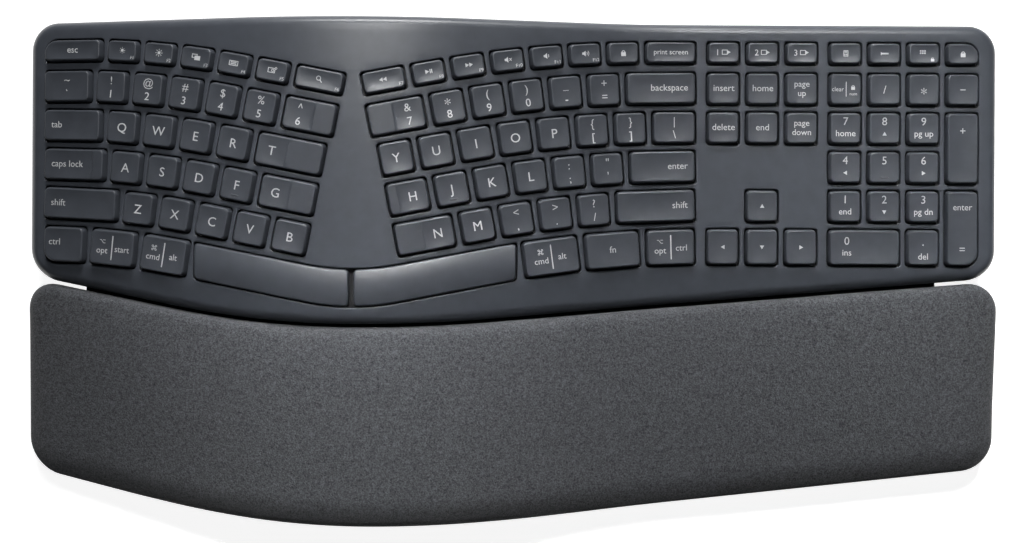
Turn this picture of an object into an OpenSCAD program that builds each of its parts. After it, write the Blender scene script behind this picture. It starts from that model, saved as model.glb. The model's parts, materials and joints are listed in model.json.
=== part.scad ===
// Ergonomic split keyboard with a joined palm rest.
// +X runs right, +Y away from the typist and +Z up. The origin is on the desk, under the middle of the footprint.
// The deck is an arch along X: both halves of the letter block climb to a crest, and the number side lies flat.

/* [Keys] */
// Spacing of the keys in the navigation and number blocks
key_pitch = 18.15; // [17.4:0.05:19.2]
// Spacing of the letter keys along X, seen from above
letter_pitch = 17.85; // [17:0.05:18.6]
// Width of the case web between two key openings
web = 2.1; // [1.6:0.1:2.8]
// Front to back size of the function key openings
function_d = 11.4; // [10:0.1:13]
// Web between the function keys and the number keys
function_web = 2.9; // [2:0.1:5]
// Front to back size of the bottom row openings
bottom_d = 17.9; // [16:0.1:20]
// Gap between the two space bars
space_slot = 2; // [1.2:0.1:3]
// Corner cut of a key opening
opening_corner = 1.4; // [0.8:0.1:2]
// Gap between a keycap and its opening
cap_gap = 0.5; // [0.4:0.05:0.8]
// Height of a keycap
cap_h = 3.9; // [3.4:0.1:4.6]
// How far a keycap stands above the deck
cap_proud = 2.5; // [1.8:0.1:3]
// Wall of a keycap
cap_wall = 1.2; // [0.9:0.1:1.6]
// Top wall of a keycap
cap_top = 1.6; // [1.2:0.1:2]
// Inward lean of a keycap's sides from foot to top
cap_taper = 0.8; // [0.4:0.1:1.2]
// Key travel
key_travel = 1.8; // [1.2:0.1:2.2]
// Room left under a pressed keycap
press_room = 0.7; // [0.5:0.1:1.2]

/* [Layout] */
// Straight start of the left rows, before they bend
left_straight = 11; // [4:1:20]
// Straight end of the right rows, after they bend
right_straight = 12; // [8:1:26]
// Bend radius of the left rows
left_bend_r = 420; // [360:5:480]
// Bend radius of the right rows
right_bend_r = 530; // [440:5:620]
// Largest turn of a row
row_turn = 11; // [8:0.5:13]
// Radius where the two space bars meet
space_bend_r = 110; // [80:5:140]
// Sideways step of the bends from one row to the next
row_skew = 3.2; // [0:0.1:4]
// Gap between the two halves at the function keys
split_gap = 5.3; // [4:0.1:14]
// Gap between the key blocks
block_gap = 2.2; // [1.5:0.1:5]
// Case left of the keys
left_margin = 6.7; // [4:0.1:8]
// Case right of the keys
right_margin = 7.7; // [4:0.1:9]
// Case behind the keys
back_margin = 8.2; // [5:0.1:10]
// Case in front of the space bars
front_margin = 7.5; // [5:0.1:9]

/* [Case] */
// Height of the deck at its crest
crest_z = 45.5; // [43:0.5:50]
// Radius of the crest
crest_r = 270; // [230:5:300]
// Slope of the left side
left_slope = 12; // [9:0.5:13]
// Slope of the right side
right_slope = 11; // [8:0.5:12]
// Radius where the right slope runs out
runout_r = 200; // [150:5:240]
// Level stretch of the right half beside the navigation keys
level_run = 10.8; // [6:0.2:16]
// Deck thickness
deck_t = 2.2; // [1.6:0.1:2.6]
// Side wall thickness
wall = 2.2; // [1.6:0.1:2.8]
// Corner radius of the case
corner_r = 13; // [9:0.5:16]
// Slope of the front edge on the left, seen from above
left_front_slope = 10.8; // [8:0.1:13]
// Bend radius of the front edge on the left
left_front_r = 460; // [380:10:520]
// Slope of the front edge on the right, seen from above
right_front_slope = 4.8; // [3:0.1:6]
// Bend radius of the front edge on the right
right_front_r = 800; // [700:10:1400]
// Height of the joint between the two case halves
joint_z = 8; // [6.5:0.5:10]
// Floor thickness
floor_t = 2; // [1.8:0.1:2.6]

/* [Inside] */
// Membrane thickness
membrane_t = 0.4; // [0.2:0.1:0.6]
// Key plate thickness
plate_t = 1; // [0.8:0.1:1.5]
// Gap round the key plate
plate_gap = 1.5; // [0.8:0.1:3]
// Diameter of the screw pillars
pillar_d = 7; // [6.6:0.1:8]
// Screw shank diameter
screw_d = 2.8; // [2.4:0.1:3]
// Screw head diameter
screw_head_d = 5; // [4.4:0.1:5.2]
// Screw head height
screw_head_h = 1.8; // [1.4:0.1:2.4]
// Radial gap round a screw in the pillar that it passes
screw_gap = 0.3; // [0.2:0.05:0.4]
// Thread length of a screw above its seat
screw_l = 6; // [5:0.5:6.5]
// Battery diameter
battery_d = 10.5; // [10:0.1:11]
// Battery length with its button
battery_l = 44.5; // [43:0.5:46]
// Gap round the batteries
battery_gap = 0.4; // [0.2:0.1:1]
// Controller board width
board_w = 60; // [40:1:80]
// Controller board depth
board_d = 26; // [18:1:32]

/* [Palm rest] */
// How far the palm rest stands out past each side of the case
palm_overhang = 1.8; // [1:0.1:6]
// Gap between case and palm rest
palm_gap = 1.6; // [1.2:0.1:3]
// Depth of the palm rest at the crest
palm_d = 92.6; // [85:0.1:110]
// Step down from the deck to the palm rest
palm_step = 2; // [1:0.5:5]
// Fall of the palm rest towards the typist
palm_fall = 3; // [1:0.5:4]
// Corner radius of the palm rest
palm_corner_r = 14.5; // [12:0.5:20]
// Slope of the palm rest's front edge on the left, seen from above
left_palm_slope = 13.1; // [11:0.1:16]
// Bend radius of the palm rest's front edge on the left
left_palm_r = 520; // [420:10:620]
// Slope of the palm rest's front edge on the right, seen from above
right_palm_slope = 6.3; // [4:0.1:7.5]
// Bend radius of the palm rest's front edge on the right
right_palm_r = 930; // [700:10:1100]
// Fabric cover thickness
cover_t = 1; // [0.6:0.1:1.4]
// Foam thickness on top
foam_t = 7; // [5:0.5:8]
// Foam thickness at the sides
foam_side = 2; // [1.4:0.1:3]
// Draw-in of the cushion's sides at its foot
draw_in = 2.5; // [1.5:0.1:3.5]
// Wall of the shell under the foam
shell_t = 2.2; // [1.8:0.1:2.6]

/* [Feet and legs] */
// How far the feet stand out under the floor
foot_gap = 1.5; // [1:0.1:2]
// Length of a foot
foot_l = 30; // [20:1:40]
// Width of a foot
foot_w = 8; // [6:0.5:10]
// Leg width
leg_w = 24; // [18:1:28]
// Leg thickness
leg_t = 3.4; // [3.2:0.1:3.6]
// Reach of the tall legs
tall_leg_l = 22; // [18:1:26]
// Reach of the short legs
short_leg_l = 14; // [10:1:17]
// Hinge pin diameter
pin_d = 1.8; // [1.6:0.1:2]
// Radial running gap of a hinge pin
pin_gap = 0.05; // [0.03:0.01:0.08]
// Gap round a folded leg, the door and the switch
part_gap = 0.4; // [0.3:0.05:0.6]
// Switch travel
switch_travel = 3; // [2:0.5:4]

/* [Hidden] */
$fn = 48;
// How far a cutting body runs past the face that it cuts
past = 1;

// Colours
case_colour = "#43464b";
key_colour = "#34373c";
cloth_colour = "#55575b";
rubber_colour = "#222326";
steel_colour = "#b8bcc0";
foam_colour = "#d9d4c8";
film_colour = "#1c1d1f";

// Key widths of each row in letter columns, from left to right, back row first
LEFT_ROWS = [
    [1.75, 1, 1, 1, 1, 1, 1.4],
    [1.45, 1, 1, 1, 1, 1, 1.5],
    [1.75, 1, 1, 1, 1, 1.9],
    [1.85, 1, 1, 1, 1, 1.6],
    [2.2, 1, 1, 1, 1, 1.05],
    [1.3, 1.4, 1.4]];
RIGHT_ROWS = [
    [1.25, 1, 1, 1, 1, 1, 1, 1.5],
    [1.6, 1, 1, 1, 1, 1, 2],
    [1, 1, 1, 1, 1, 1, 1, 1.3],
    [1.2, 1, 1, 1, 1, 1, 1.9],
    [1.65, 1, 1, 1, 1, 2.25],
    [1.6, 1.6, 1.45]];
function total(list, upto) = upto <= 0 ? 0 : list[upto - 1] + total(list, upto - 1);
left_columns = total(LEFT_ROWS[0], len(LEFT_ROWS[0]));
right_columns = total(RIGHT_ROWS[0], len(RIGHT_ROWS[0]));

// Places along X
nav_columns = 3;
pad_columns = 4;
body_w = left_margin + (left_columns + right_columns) * letter_pitch + split_gap
    + block_gap + nav_columns * key_pitch + block_gap + pad_columns * key_pitch + right_margin;
left_x = -body_w / 2 + left_margin;
crest_x = left_x + left_columns * letter_pitch + split_gap / 2;
right_x = crest_x + split_gap / 2 + right_columns * letter_pitch;
nav_x = right_x + block_gap;
pad_x = nav_x + nav_columns * key_pitch + block_gap;
palm_w = body_w + 2 * palm_overhang;
far = body_w;

// Bends of the key rows, seen from above: a straight run, an arc and a straight run at the full turn
function bend(u, r, turn) = u <= 0 ? 0
    : u < r * sin(turn) ? r - sqrt(r * r - u * u)
    : r * (1 - cos(turn)) + (u - r * sin(turn)) * tan(turn);
function bend_turn(u, r, turn) = u <= 0 ? 0 : u < r * sin(turn) ? asin(u / r) : turn;
function left_u(x, row) = x - left_x - left_straight + row_skew * row;
function right_u(x, row) = right_x - right_straight + row_skew * row - x;
function left_drop(x, row) = bend(left_u(x, row), left_bend_r, row_turn);
function right_drop(x, row) = bend(right_u(x, row), right_bend_r, row_turn);

// The bottom row runs through the crest, where its two halves meet in one more arc
bottom_row = 5;
left_fall = bend(left_u(crest_x, bottom_row), left_bend_r, row_turn);
right_fall = bend(right_u(crest_x, bottom_row), right_bend_r, row_turn);
meet_x = crest_x + (right_fall - left_fall) / (2 * tan(row_turn));
meet_drop = (left_fall + right_fall) / 2;
meet_half = space_bend_r * sin(row_turn);
space_drop = meet_drop - space_bend_r * (1 / cos(row_turn) - 1);
function bottom_drop(x) = abs(x - meet_x) < meet_half
    ? space_drop - (space_bend_r - sqrt(space_bend_r * space_bend_r - pow(x - meet_x, 2)))
    : x < meet_x ? left_drop(x, bottom_row) : right_drop(x, bottom_row);

// Places along Y
key_d = key_pitch - web;
row_depth = [function_d, key_d, key_d, key_d, key_d, bottom_d];
keys_d = function_d + function_web + 4 * key_pitch + bottom_d;
total_d = back_margin + keys_d + space_drop + front_margin + palm_gap + palm_d;
back_y = total_d / 2;
function_y = back_y - back_margin - function_d / 2;
number_y = function_y - function_d / 2 - function_web - key_d / 2;
row_y = [function_y, number_y, number_y - key_pitch, number_y - 2 * key_pitch, number_y - 3 * key_pitch,
    number_y - 3 * key_pitch - key_d / 2 - web - bottom_d / 2];
front_y = row_y[bottom_row] - bottom_d / 2 - space_drop - front_margin;

// Arch of the deck
flat_x = right_x - level_run;
climb_l = crest_r * sin(left_slope);
climb_r = crest_r * sin(right_slope);
runout_x = flat_x - runout_r * sin(right_slope);
shoulder_r_z = crest_z - crest_r * (1 - cos(right_slope));
runout_z = shoulder_r_z - (runout_x - crest_x - climb_r) * tan(right_slope);
flat_z = runout_z - runout_r * (1 - cos(right_slope));
function arch_z(x) = x < crest_x + climb_r ? crest_z - bend_signed(x - crest_x)
    : x < runout_x ? shoulder_r_z - (x - crest_x - climb_r) * tan(right_slope)
    : x < flat_x ? flat_z + runout_r - sqrt(runout_r * runout_r - pow(flat_x - x, 2))
    : flat_z;
function bend_signed(u) = bend(abs(u), crest_r, u < 0 ? left_slope : right_slope);
crest_steps = 24;
runout_steps = 8;
arch_xs = concat([-far],
    [for (i = [0 : crest_steps]) crest_x - climb_l + (climb_l + climb_r) * i / crest_steps],
    [for (i = [0 : runout_steps]) runout_x + (flat_x - runout_x) * i / runout_steps], [far]);

// Everything lower than the arch, sunk by drop, and above the height low
module under_arch(drop, low) {
    rotate([90, 0, 0])
        linear_extrude(2 * far, center = true)
            polygon(concat([[-far, low]], [for (x = arch_xs) [x, arch_z(x) - drop]], [[far, low]]));
}

// A layer that follows the arch between two depths
module arch_layer(upper, lower) {
    rotate([90, 0, 0])
        linear_extrude(2 * far, center = true)
            polygon(concat([for (x = arch_xs) [x, arch_z(x) - upper]],
                [for (i = [len(arch_xs) - 1 : -1 : 0]) [arch_xs[i], arch_z(arch_xs[i]) - lower]]));
}

// Depths below the deck
cap_foot = cap_h - cap_proud;
membrane_drop = cap_foot + key_travel + press_room;
plate_drop = membrane_drop + membrane_t;
under_plate = plate_drop + plate_t;

// Outlines seen from above: edges given by functions, with round corners, moved in by inset
function body_front(x) = front_y + bend(abs(x - crest_x), x < crest_x ? left_front_r : right_front_r,
    x < crest_x ? left_front_slope : right_front_slope);
palm_front_y = front_y - palm_gap - palm_d;
palm_low_shift = 8.2;
palm_low_x = crest_x + palm_low_shift;
function palm_back(x) = body_front(x) - palm_gap;
function palm_front(x) = palm_front_y + bend(abs(x - palm_low_x), x < palm_low_x ? left_palm_r : right_palm_r,
    x < palm_low_x ? left_palm_slope : right_palm_slope);
corner_steps = 5;
edge_steps = 22;
function edge_xs(half, r) = concat(
    [for (i = [0 : corner_steps]) -half + r * (1 - cos(90 * i / corner_steps))],
    [for (i = [1 : edge_steps - 1]) (half - r) * (2 * i / edge_steps - 1)],
    [for (i = [corner_steps : -1 : 0]) half - r * (1 - cos(90 * i / corner_steps))]);
function corner_sink(x, half, r) = abs(x) <= half - r ? 0
    : r - sqrt(max(0, r * r - pow(abs(x) - half + r, 2)));
function body_outline(inset) =
    let (half = body_w / 2 - inset, r = corner_r - inset, xs = edge_xs(half, r))
    concat([for (x = xs) [x, back_y - inset - corner_sink(x, half, r)]],
        [for (i = [len(xs) - 1 : -1 : 0]) [xs[i], body_front(xs[i]) + inset + corner_sink(xs[i], half, r)]]);
function palm_outline(inset) =
    let (half = palm_w / 2 - inset, r = max(palm_corner_r - inset, 1), xs = edge_xs(half, r))
    concat([for (x = xs) [x, palm_back(x) - inset - corner_sink(x, half, r)]],
        [for (i = [len(xs) - 1 : -1 : 0]) [xs[i], palm_front(xs[i]) + inset + corner_sink(xs[i], half, r)]]);

// One key as [left x, right x, y, turn, depth]
function left_key(row, i) =
    let (x0 = left_x + letter_pitch * total(LEFT_ROWS[row], i), x1 = x0 + letter_pitch * LEFT_ROWS[row][i],
        x = (x0 + x1) / 2)
    [x0, x1, row_y[row] - left_drop(x, row), -bend_turn(left_u(x, row), left_bend_r, row_turn), row_depth[row]];
function right_key(row, i) =
    let (widths = RIGHT_ROWS[row],
        x0 = right_x - letter_pitch * (total(widths, len(widths)) - total(widths, i)),
        x1 = x0 + letter_pitch * widths[i], x = (x0 + x1) / 2)
    [x0, x1, row_y[row] - right_drop(x, row), bend_turn(right_u(x, row), right_bend_r, row_turn), row_depth[row]];
// Block keys: column and row of the first cell, and how many columns and rows it spans
function block_key(x, column, row, wide = 1, deep = 1) =
    let (last = row + deep - 1, y1 = row_y[row] + row_depth[row] / 2, y0 = row_y[last] - row_depth[last] / 2)
    [x + column * key_pitch, x + (column + wide) * key_pitch, (y0 + y1) / 2, 0, y1 - y0];
function nav_key(column, row) = block_key(nav_x, column, row);
function pad_key(column, row, wide = 1, deep = 1) = block_key(pad_x, column, row, wide, deep);

// Keys of each key node
function left_keys(row, first, last) = [for (i = [first : last]) left_key(row, i)];
function right_keys(row, first, last) = [for (i = [first : last]) right_key(row, i)];
LEFT_SINGLES = [for (row = [0, 2, 3, 4]) left_key(row, 0)];
RIGHT_SINGLES = [right_key(1, 6), right_key(3, 6), right_key(4, 5)];
LEFT_GROUPS = [left_keys(0, 1, 6), left_keys(1, 0, 6), left_keys(2, 1, 5), left_keys(3, 1, 5), left_keys(4, 1, 5),
    left_keys(5, 0, 2)];
RIGHT_GROUPS = [right_keys(0, 0, 7), right_keys(1, 0, 5), right_keys(2, 0, 7), right_keys(3, 0, 5),
    right_keys(4, 0, 4), right_keys(5, 0, 2)];
NAV_GROUPS = [for (row = [0 : 2]) [for (column = [0 : 2]) nav_key(column, row)]];
ARROWS = [nav_key(1, 4), nav_key(0, 5), nav_key(1, 5), nav_key(2, 5)];
PAD_GROUPS = [
    [for (column = [0 : 3]) pad_key(column, 0)],
    [for (column = [0 : 3]) pad_key(column, 1)],
    for (row = [2 : 4]) [for (column = [0 : 2]) pad_key(column, row)]];
PAD_SINGLES = [pad_key(0, 5, 2), pad_key(2, 5), pad_key(3, 2, 1, 2), pad_key(3, 4, 1, 2)];
ALL_KEYS = concat(LEFT_SINGLES, RIGHT_SINGLES, ARROWS, PAD_SINGLES,
    [for (groups = [LEFT_GROUPS, RIGHT_GROUPS, NAV_GROUPS, PAD_GROUPS], group = groups, key = group) key]);
// Keys wide or deep enough to need a stabiliser wire
WIRED_KEYS = concat([for (i = [1 : 3]) LEFT_SINGLES[i]], RIGHT_SINGLES,
    [PAD_SINGLES[0], PAD_SINGLES[2], PAD_SINGLES[3]]);

// Frame of a key on the chord of the arch across its width, and its opening's size there
function key_slope(key) = atan((arch_z(key[1]) - arch_z(key[0])) / (key[1] - key[0]));
function opening_w(key) = (key[1] - key[0]) / cos(key_slope(key)) / cos(key[3]) - web;
function key_x(key) = (key[0] + key[1]) / 2;
module on_chord(key) {
    translate([key_x(key), key[2], (arch_z(key[0]) + arch_z(key[1])) / 2])
        rotate([0, -key_slope(key), 0])
            rotate([0, 0, key[3]])
                children();
}
// Frame on the deck itself, above the middle of a key
module on_deck(key) {
    step = 1;
    slope = atan((arch_z(key_x(key) + step) - arch_z(key_x(key) - step)) / (2 * step));
    translate([key_x(key), key[2], arch_z(key_x(key))])
        rotate([0, -slope, 0])
            rotate([0, 0, key[3]])
                children();
}

function cut_corners(w, d, c) = [
    [-w / 2 + c, -d / 2], [w / 2 - c, -d / 2], [w / 2, -d / 2 + c], [w / 2, d / 2 - c],
    [w / 2 - c, d / 2], [-w / 2 + c, d / 2], [-w / 2, d / 2 - c], [-w / 2, -d / 2 + c]];

module opening(key) {
    on_chord(key)
        translate([0, 0, -3 * deck_t])
            linear_extrude(6 * deck_t)
                polygon(cut_corners(opening_w(key), key[4], opening_corner));
}

// Keycap: a hollow cap whose sides lean in
module keycap(key) {
    w = opening_w(key) - 2 * cap_gap;
    d = key[4] - 2 * cap_gap;
    foot = cut_corners(w, d, opening_corner);
    top = cut_corners(w - 2 * cap_taper, d - 2 * cap_taper, opening_corner);
    n = len(foot);
    inner = 2 * (cap_wall + cap_taper);
    on_chord(key)
        difference() {
            polyhedron(
                points = concat([for (p = foot) [p[0], p[1], -cap_foot]], [for (p = top) [p[0], p[1], cap_proud]]),
                faces = concat([[for (i = [0 : n - 1]) i]], [[for (i = [0 : n - 1]) 2 * n - 1 - i]],
                    [for (i = [0 : n - 1]) [i, n + i, n + (i + 1) % n, (i + 1) % n]]));
            translate([-(w - inner) / 2, -(d - inner) / 2, -cap_foot - past])
                cube([w - inner, d - inner, cap_h - cap_top + past]);
        }
}
module keycaps(keys) {
    color(key_colour)
        for (key = keys)
            keycap(key);
}

// Space bars follow the arch and the bottom row's bend
space_steps = 20;
function space_line(x0, x1, offset) = [for (i = [0 : space_steps]) let (x = x0 + (x1 - x0) * i / space_steps)
    [x, row_y[bottom_row] - bottom_drop(x) + offset]];
function space_shape(x0, x1, half) =
    concat(space_line(x0, x1, half), [for (i = [space_steps : -1 : 0]) space_line(x0, x1, -half)[i]]);
left_space_x = left_x + letter_pitch * total(LEFT_ROWS[bottom_row], 3);
right_space_x = right_x - letter_pitch * total(RIGHT_ROWS[bottom_row], 3);
space_edge = web / 2 + cap_gap;
// Both bars lie in one opening
module space_opening() {
    linear_extrude(2 * crest_z)
        polygon(space_shape(left_space_x + web / 2, right_space_x - web / 2, bottom_d / 2));
}
module space_bar(x0, x1) {
    color(key_colour)
        difference() {
            intersection() {
                linear_extrude(2 * crest_z)
                    polygon(space_shape(x0, x1, bottom_d / 2 - cap_gap));
                arch_layer(-cap_proud, cap_foot);
            }
            intersection() {
                linear_extrude(2 * crest_z)
                    polygon(space_shape(x0 + cap_wall, x1 - cap_wall, bottom_d / 2 - cap_gap - cap_wall));
                arch_layer(cap_top - cap_proud, cap_foot + past);
            }
        }
}

// Screws between the case halves: places on the deck that no key takes
back_pillar_out = 55;
back_pillar_in = 8.5;
crest_pillar_in = 13;
pillar_gap = 0.4;
right_pillar_x = right_x - 1.5 * letter_pitch;
function front_pillar(x) = [x, body_front(x) + wall + pillar_d / 2 + pillar_gap];
PILLARS = [
    [crest_x - back_pillar_out, back_y - back_pillar_in], [crest_x + back_pillar_out, back_y - back_pillar_in],
    [crest_x, back_y - crest_pillar_in], [crest_x, row_y[3]],
    [nav_x + key_pitch / 2, row_y[3]], [nav_x + 2.5 * key_pitch, row_y[3]],
    front_pillar(left_space_x), front_pillar(right_pillar_x), front_pillar(pad_x)];
screw_seat_t = 3;
function pillar_top(p) = arch_z(p[0]) - under_plate;
module screw() {
    translate([0, 0, -screw_head_h])
        cylinder(h = screw_head_h, d = screw_head_d);
    cylinder(h = screw_l, d = screw_d);
}

module top_case() {
    color(case_colour)
        difference() {
            union() {
                difference() {
                    intersection() {
                        linear_extrude(2 * crest_z)
                            polygon(body_outline(0));
                        under_arch(0, joint_z);
                    }
                    intersection() {
                        linear_extrude(2 * crest_z)
                            polygon(body_outline(wall));
                        under_arch(deck_t, joint_z - past);
                    }
                }
                intersection() {
                    for (p = PILLARS)
                        translate([p[0], p[1], 0])
                            cylinder(h = 2 * crest_z, d = pillar_d);
                    arch_layer(deck_t / 2, plate_drop);
                }
            }
            for (p = PILLARS)
                translate([p[0], p[1], joint_z])
                    cylinder(h = arch_z(p[0]) - deck_t / 2 - joint_z, d = screw_d + 2 * pin_gap);
            for (key = ALL_KEYS)
                opening(key);
            space_opening();
        }
}

// Gap between foam and shell
side_gap = 0.4;

// Floor of case and palm rest in one piece, with the joining web between them
floor_z = foot_gap;
floor_top = floor_z + floor_t;
bridge_in = 24.5;
bridge_half = palm_w / 2 - bridge_in;
floor_draw = 0.5;
palm_floor_inset = draw_in + floor_draw;
bridge_reach = wall + palm_floor_inset + past;
module bridge() {
    xs = [for (i = [0 : edge_steps]) bridge_half * (2 * i / edge_steps - 1)];
    polygon(concat([for (x = xs) [x, body_front(x) + bridge_reach]],
        [for (i = [edge_steps : -1 : 0]) [xs[i], palm_back(xs[i]) - bridge_reach]]));
}

// Battery bay under the crest, behind the middle pillar
bay_x = crest_x;
bay_wall = 1.5;
contact_t = 0.5;
contact_w = 8.5;
battery_lane = (battery_d + battery_gap) / 2;
bay_l = battery_l + 2 * (contact_t + battery_gap);
bay_d = 2 * battery_d + 3 * battery_gap;
bay_gap = 5;
bay_y = PILLARS[3][1] + pillar_d / 2 + bay_gap + bay_wall + bay_d / 2;
door_t = floor_t - part_gap;
door_top = floor_z + door_t;
battery_z = door_top + battery_gap + battery_d / 2;
bay_top = battery_z + battery_d / 2 + battery_gap;
door_hinge_y = bay_y + bay_d / 2 - door_t / 2 - part_gap;
hinge_stub = 2;

// Board beside the bay
board_t = 1.6;
board_gap = 8;
board_lift = 5;
board_post_d = 5;
board_x = bay_x + bay_l / 2 + bay_wall + board_gap;
board_y = bay_y - board_d / 2;
board_z = floor_top + board_lift;
board_inset = 4;
BOARD_POSTS = [for (x = [board_x + board_inset, board_x + board_w - board_inset],
    y = [board_y + board_inset, board_y + board_d - board_inset]) [x, y]];

// Power switch under the left half
switch_w = 6;
switch_d = 3.4;
switch_gap = 30;
switch_x = bay_x - bay_l / 2 - switch_gap;
switch_y = bay_y;
switch_flange = 1.5;
switch_flange_t = 1;
switch_lift = 0.3;

// Legs under the palm rest: [x of the middle, reach, y of the pin]
leg_z = floor_z + part_gap / 2 + leg_t / 2;
leg_ear = 2.6;
leg_rib = 4;
leg_room = 3;
leg_step = leg_w + 2 * (part_gap + leg_ear) + leg_rib;
leg_left_in = 76;
leg_right_in = 96;
left_leg_x = [leg_left_in - palm_w / 2, leg_left_in - palm_w / 2 + leg_step];
right_leg_x = [palm_w / 2 - leg_right_in, palm_w / 2 - leg_right_in - leg_step];
pocket_roof = 1.2;
pocket_half = leg_w / 2 + part_gap + leg_ear;
// The pockets of a side clear the shell's front wall at their outer corner
shell_inset = draw_in + cover_t + foam_side + side_gap;
leg_in = shell_inset + shell_t + pocket_roof + part_gap + leg_t / 2 + leg_room;
left_leg_y = palm_front(left_leg_x[0] - pocket_half) + leg_in;
right_leg_y = palm_front(right_leg_x[0] + pocket_half) + leg_in;
LEGS = [[left_leg_x[0], tall_leg_l, left_leg_y], [left_leg_x[1], short_leg_l, left_leg_y],
    [right_leg_x[0], tall_leg_l, right_leg_y], [right_leg_x[1], short_leg_l, right_leg_y]];
pocket_notch = 6;
pocket_top = leg_z + leg_t / 2 + part_gap;

// Palm rest screws: pads on the floor under bosses in the shell
back_screws_in = 26;
front_screws_in = 23;
end_screw_in = 55;
screw_step = 100;
head_recess = 0.6;
palm_screw_seat = floor_z + screw_head_h + head_recess;
pad_top = palm_screw_seat + floor_t;
PALM_SCREWS = concat(
    [for (x = [end_screw_in - palm_w / 2, crest_x, crest_x + screw_step, palm_w / 2 - end_screw_in])
        [x, palm_back(x) - back_screws_in]],
    [for (x = [crest_x, palm_low_x + screw_step / 2]) [x, palm_front(x) + front_screws_in]]);

// Feet: [x, y, turn]
back_feet_in = 16;
front_feet_in = 17;
low_foot_in = 10;
foot_end = 36;
back_foot_x = body_w / 2 - foot_end;
front_foot_x = palm_w / 2 - foot_end;
mid_foot_x = nav_x / 2;
FEET = [[-back_foot_x, back_y - back_feet_in, 0], [mid_foot_x, back_y - back_feet_in, 0],
    [back_foot_x, back_y - back_feet_in, 0],
    [-front_foot_x, palm_front(-front_foot_x) + front_feet_in, -left_palm_slope],
    [palm_low_x, palm_front_y + low_foot_in, 0],
    [front_foot_x, palm_front(front_foot_x) + front_feet_in, right_palm_slope]];
foot_sink = 1;
module foot_shape(grow) {
    r = foot_w / 2 + grow;
    straight = foot_l - foot_w;
    square([straight, 2 * r], center = true);
    for (side = [-1, 1])
        translate([side * straight / 2, 0])
            circle(r = r);
}
module at_feet() {
    for (foot = FEET)
        translate([foot[0], foot[1], 0])
            rotate([0, 0, foot[2]])
                children();
}

module bay_box(grow, low, high) {
    translate([bay_x - bay_l / 2 - grow, bay_y - bay_d / 2 - grow, low])
        cube([bay_l + 2 * grow, bay_d + 2 * grow, high - low]);
}

// Pocket of one leg, as a block that is grown by its walls
module leg_block(leg, side, end, low, high) {
    translate([leg[0] - leg_w / 2 - part_gap - side, leg[2] - leg_t / 2 - part_gap - end, low])
        cube([leg_w + 2 * (part_gap + side), leg_t / 2 + leg[1] + pocket_notch + part_gap + 2 * end, high - low]);
}
module leg_axis(leg, length, d) {
    translate([leg[0] - length / 2, leg[2], leg_z])
        rotate([0, 90, 0])
            cylinder(h = length, d = d);
}

module bottom_case() {
    color(case_colour)
        difference() {
            union() {
                translate([0, 0, floor_z])
                    linear_extrude(floor_t)
                        union() {
                            polygon(body_outline(0));
                            polygon(palm_outline(palm_floor_inset));
                            bridge();
                        }
                translate([0, 0, floor_z])
                    linear_extrude(joint_z - floor_z)
                        difference() {
                            polygon(body_outline(0));
                            polygon(body_outline(wall));
                        }
                for (p = PILLARS)
                    intersection() {
                        translate([p[0], p[1], floor_z])
                            cylinder(h = pillar_top(p), d = pillar_d);
                        under_arch(under_plate, 0);
                    }
                bay_box(bay_wall, floor_z, bay_top + bay_wall);
                for (post = BOARD_POSTS)
                    translate([post[0], post[1], floor_z])
                        cylinder(h = board_z - floor_z, d = board_post_d);
                for (leg = LEGS)
                    leg_block(leg, leg_ear, pocket_roof, floor_z, pocket_top + pocket_roof);
                for (p = PALM_SCREWS)
                    translate([p[0], p[1], floor_z])
                        cylinder(h = pad_top - floor_z, d = pillar_d + 2 * pillar_gap);
            }
            for (p = PILLARS) {
                translate([p[0], p[1], 0])
                    cylinder(h = pillar_top(p) - screw_seat_t, d = screw_head_d + 2 * screw_gap);
                translate([p[0], p[1], 0])
                    cylinder(h = crest_z, d = screw_d + 2 * screw_gap);
            }
            bay_box(0, 0, bay_top);
            translate([bay_x - bay_l / 2 - hinge_stub, door_hinge_y, floor_z + door_t / 2])
                rotate([0, 90, 0])
                    cylinder(h = bay_l + 2 * hinge_stub, d = door_t / 2 + 2 * pin_gap);
            translate([switch_x - switch_w / 2 - part_gap, switch_y - switch_d / 2 - part_gap, 0])
                cube([switch_w + switch_travel + 2 * part_gap, switch_d + 2 * part_gap, crest_z / 2]);
            for (leg = LEGS) {
                leg_block(leg, 0, 0, 0, pocket_top);
                leg_axis(leg, leg_w + 2 * (part_gap + leg_ear + past), pin_d + 2 * pin_gap);
            }
            for (p = PALM_SCREWS) {
                translate([p[0], p[1], 0])
                    cylinder(h = palm_screw_seat, d = screw_head_d + 2 * screw_gap);
                translate([p[0], p[1], 0])
                    cylinder(h = 2 * pad_top, d = screw_d + 2 * screw_gap);
            }
            at_feet()
                linear_extrude(floor_z + foot_sink)
                    foot_shape(0);
        }
}

// Sheets under the keys
module sheet(upper, lower, hole_d) {
    difference() {
        intersection() {
            linear_extrude(2 * crest_z)
                polygon(body_outline(wall + plate_gap));
            arch_layer(upper, lower);
        }
        for (p = PILLARS)
            translate([p[0], p[1], 0])
                cylinder(h = 2 * crest_z, d = hole_d);
    }
}
module key_plate() {
    color(steel_colour)
        sheet(plate_drop, under_plate, screw_d + 4 * screw_gap);
}
module membrane() {
    color(film_colour)
        sheet(membrane_drop, plate_drop, pillar_d + 2 * pillar_gap);
}

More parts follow.
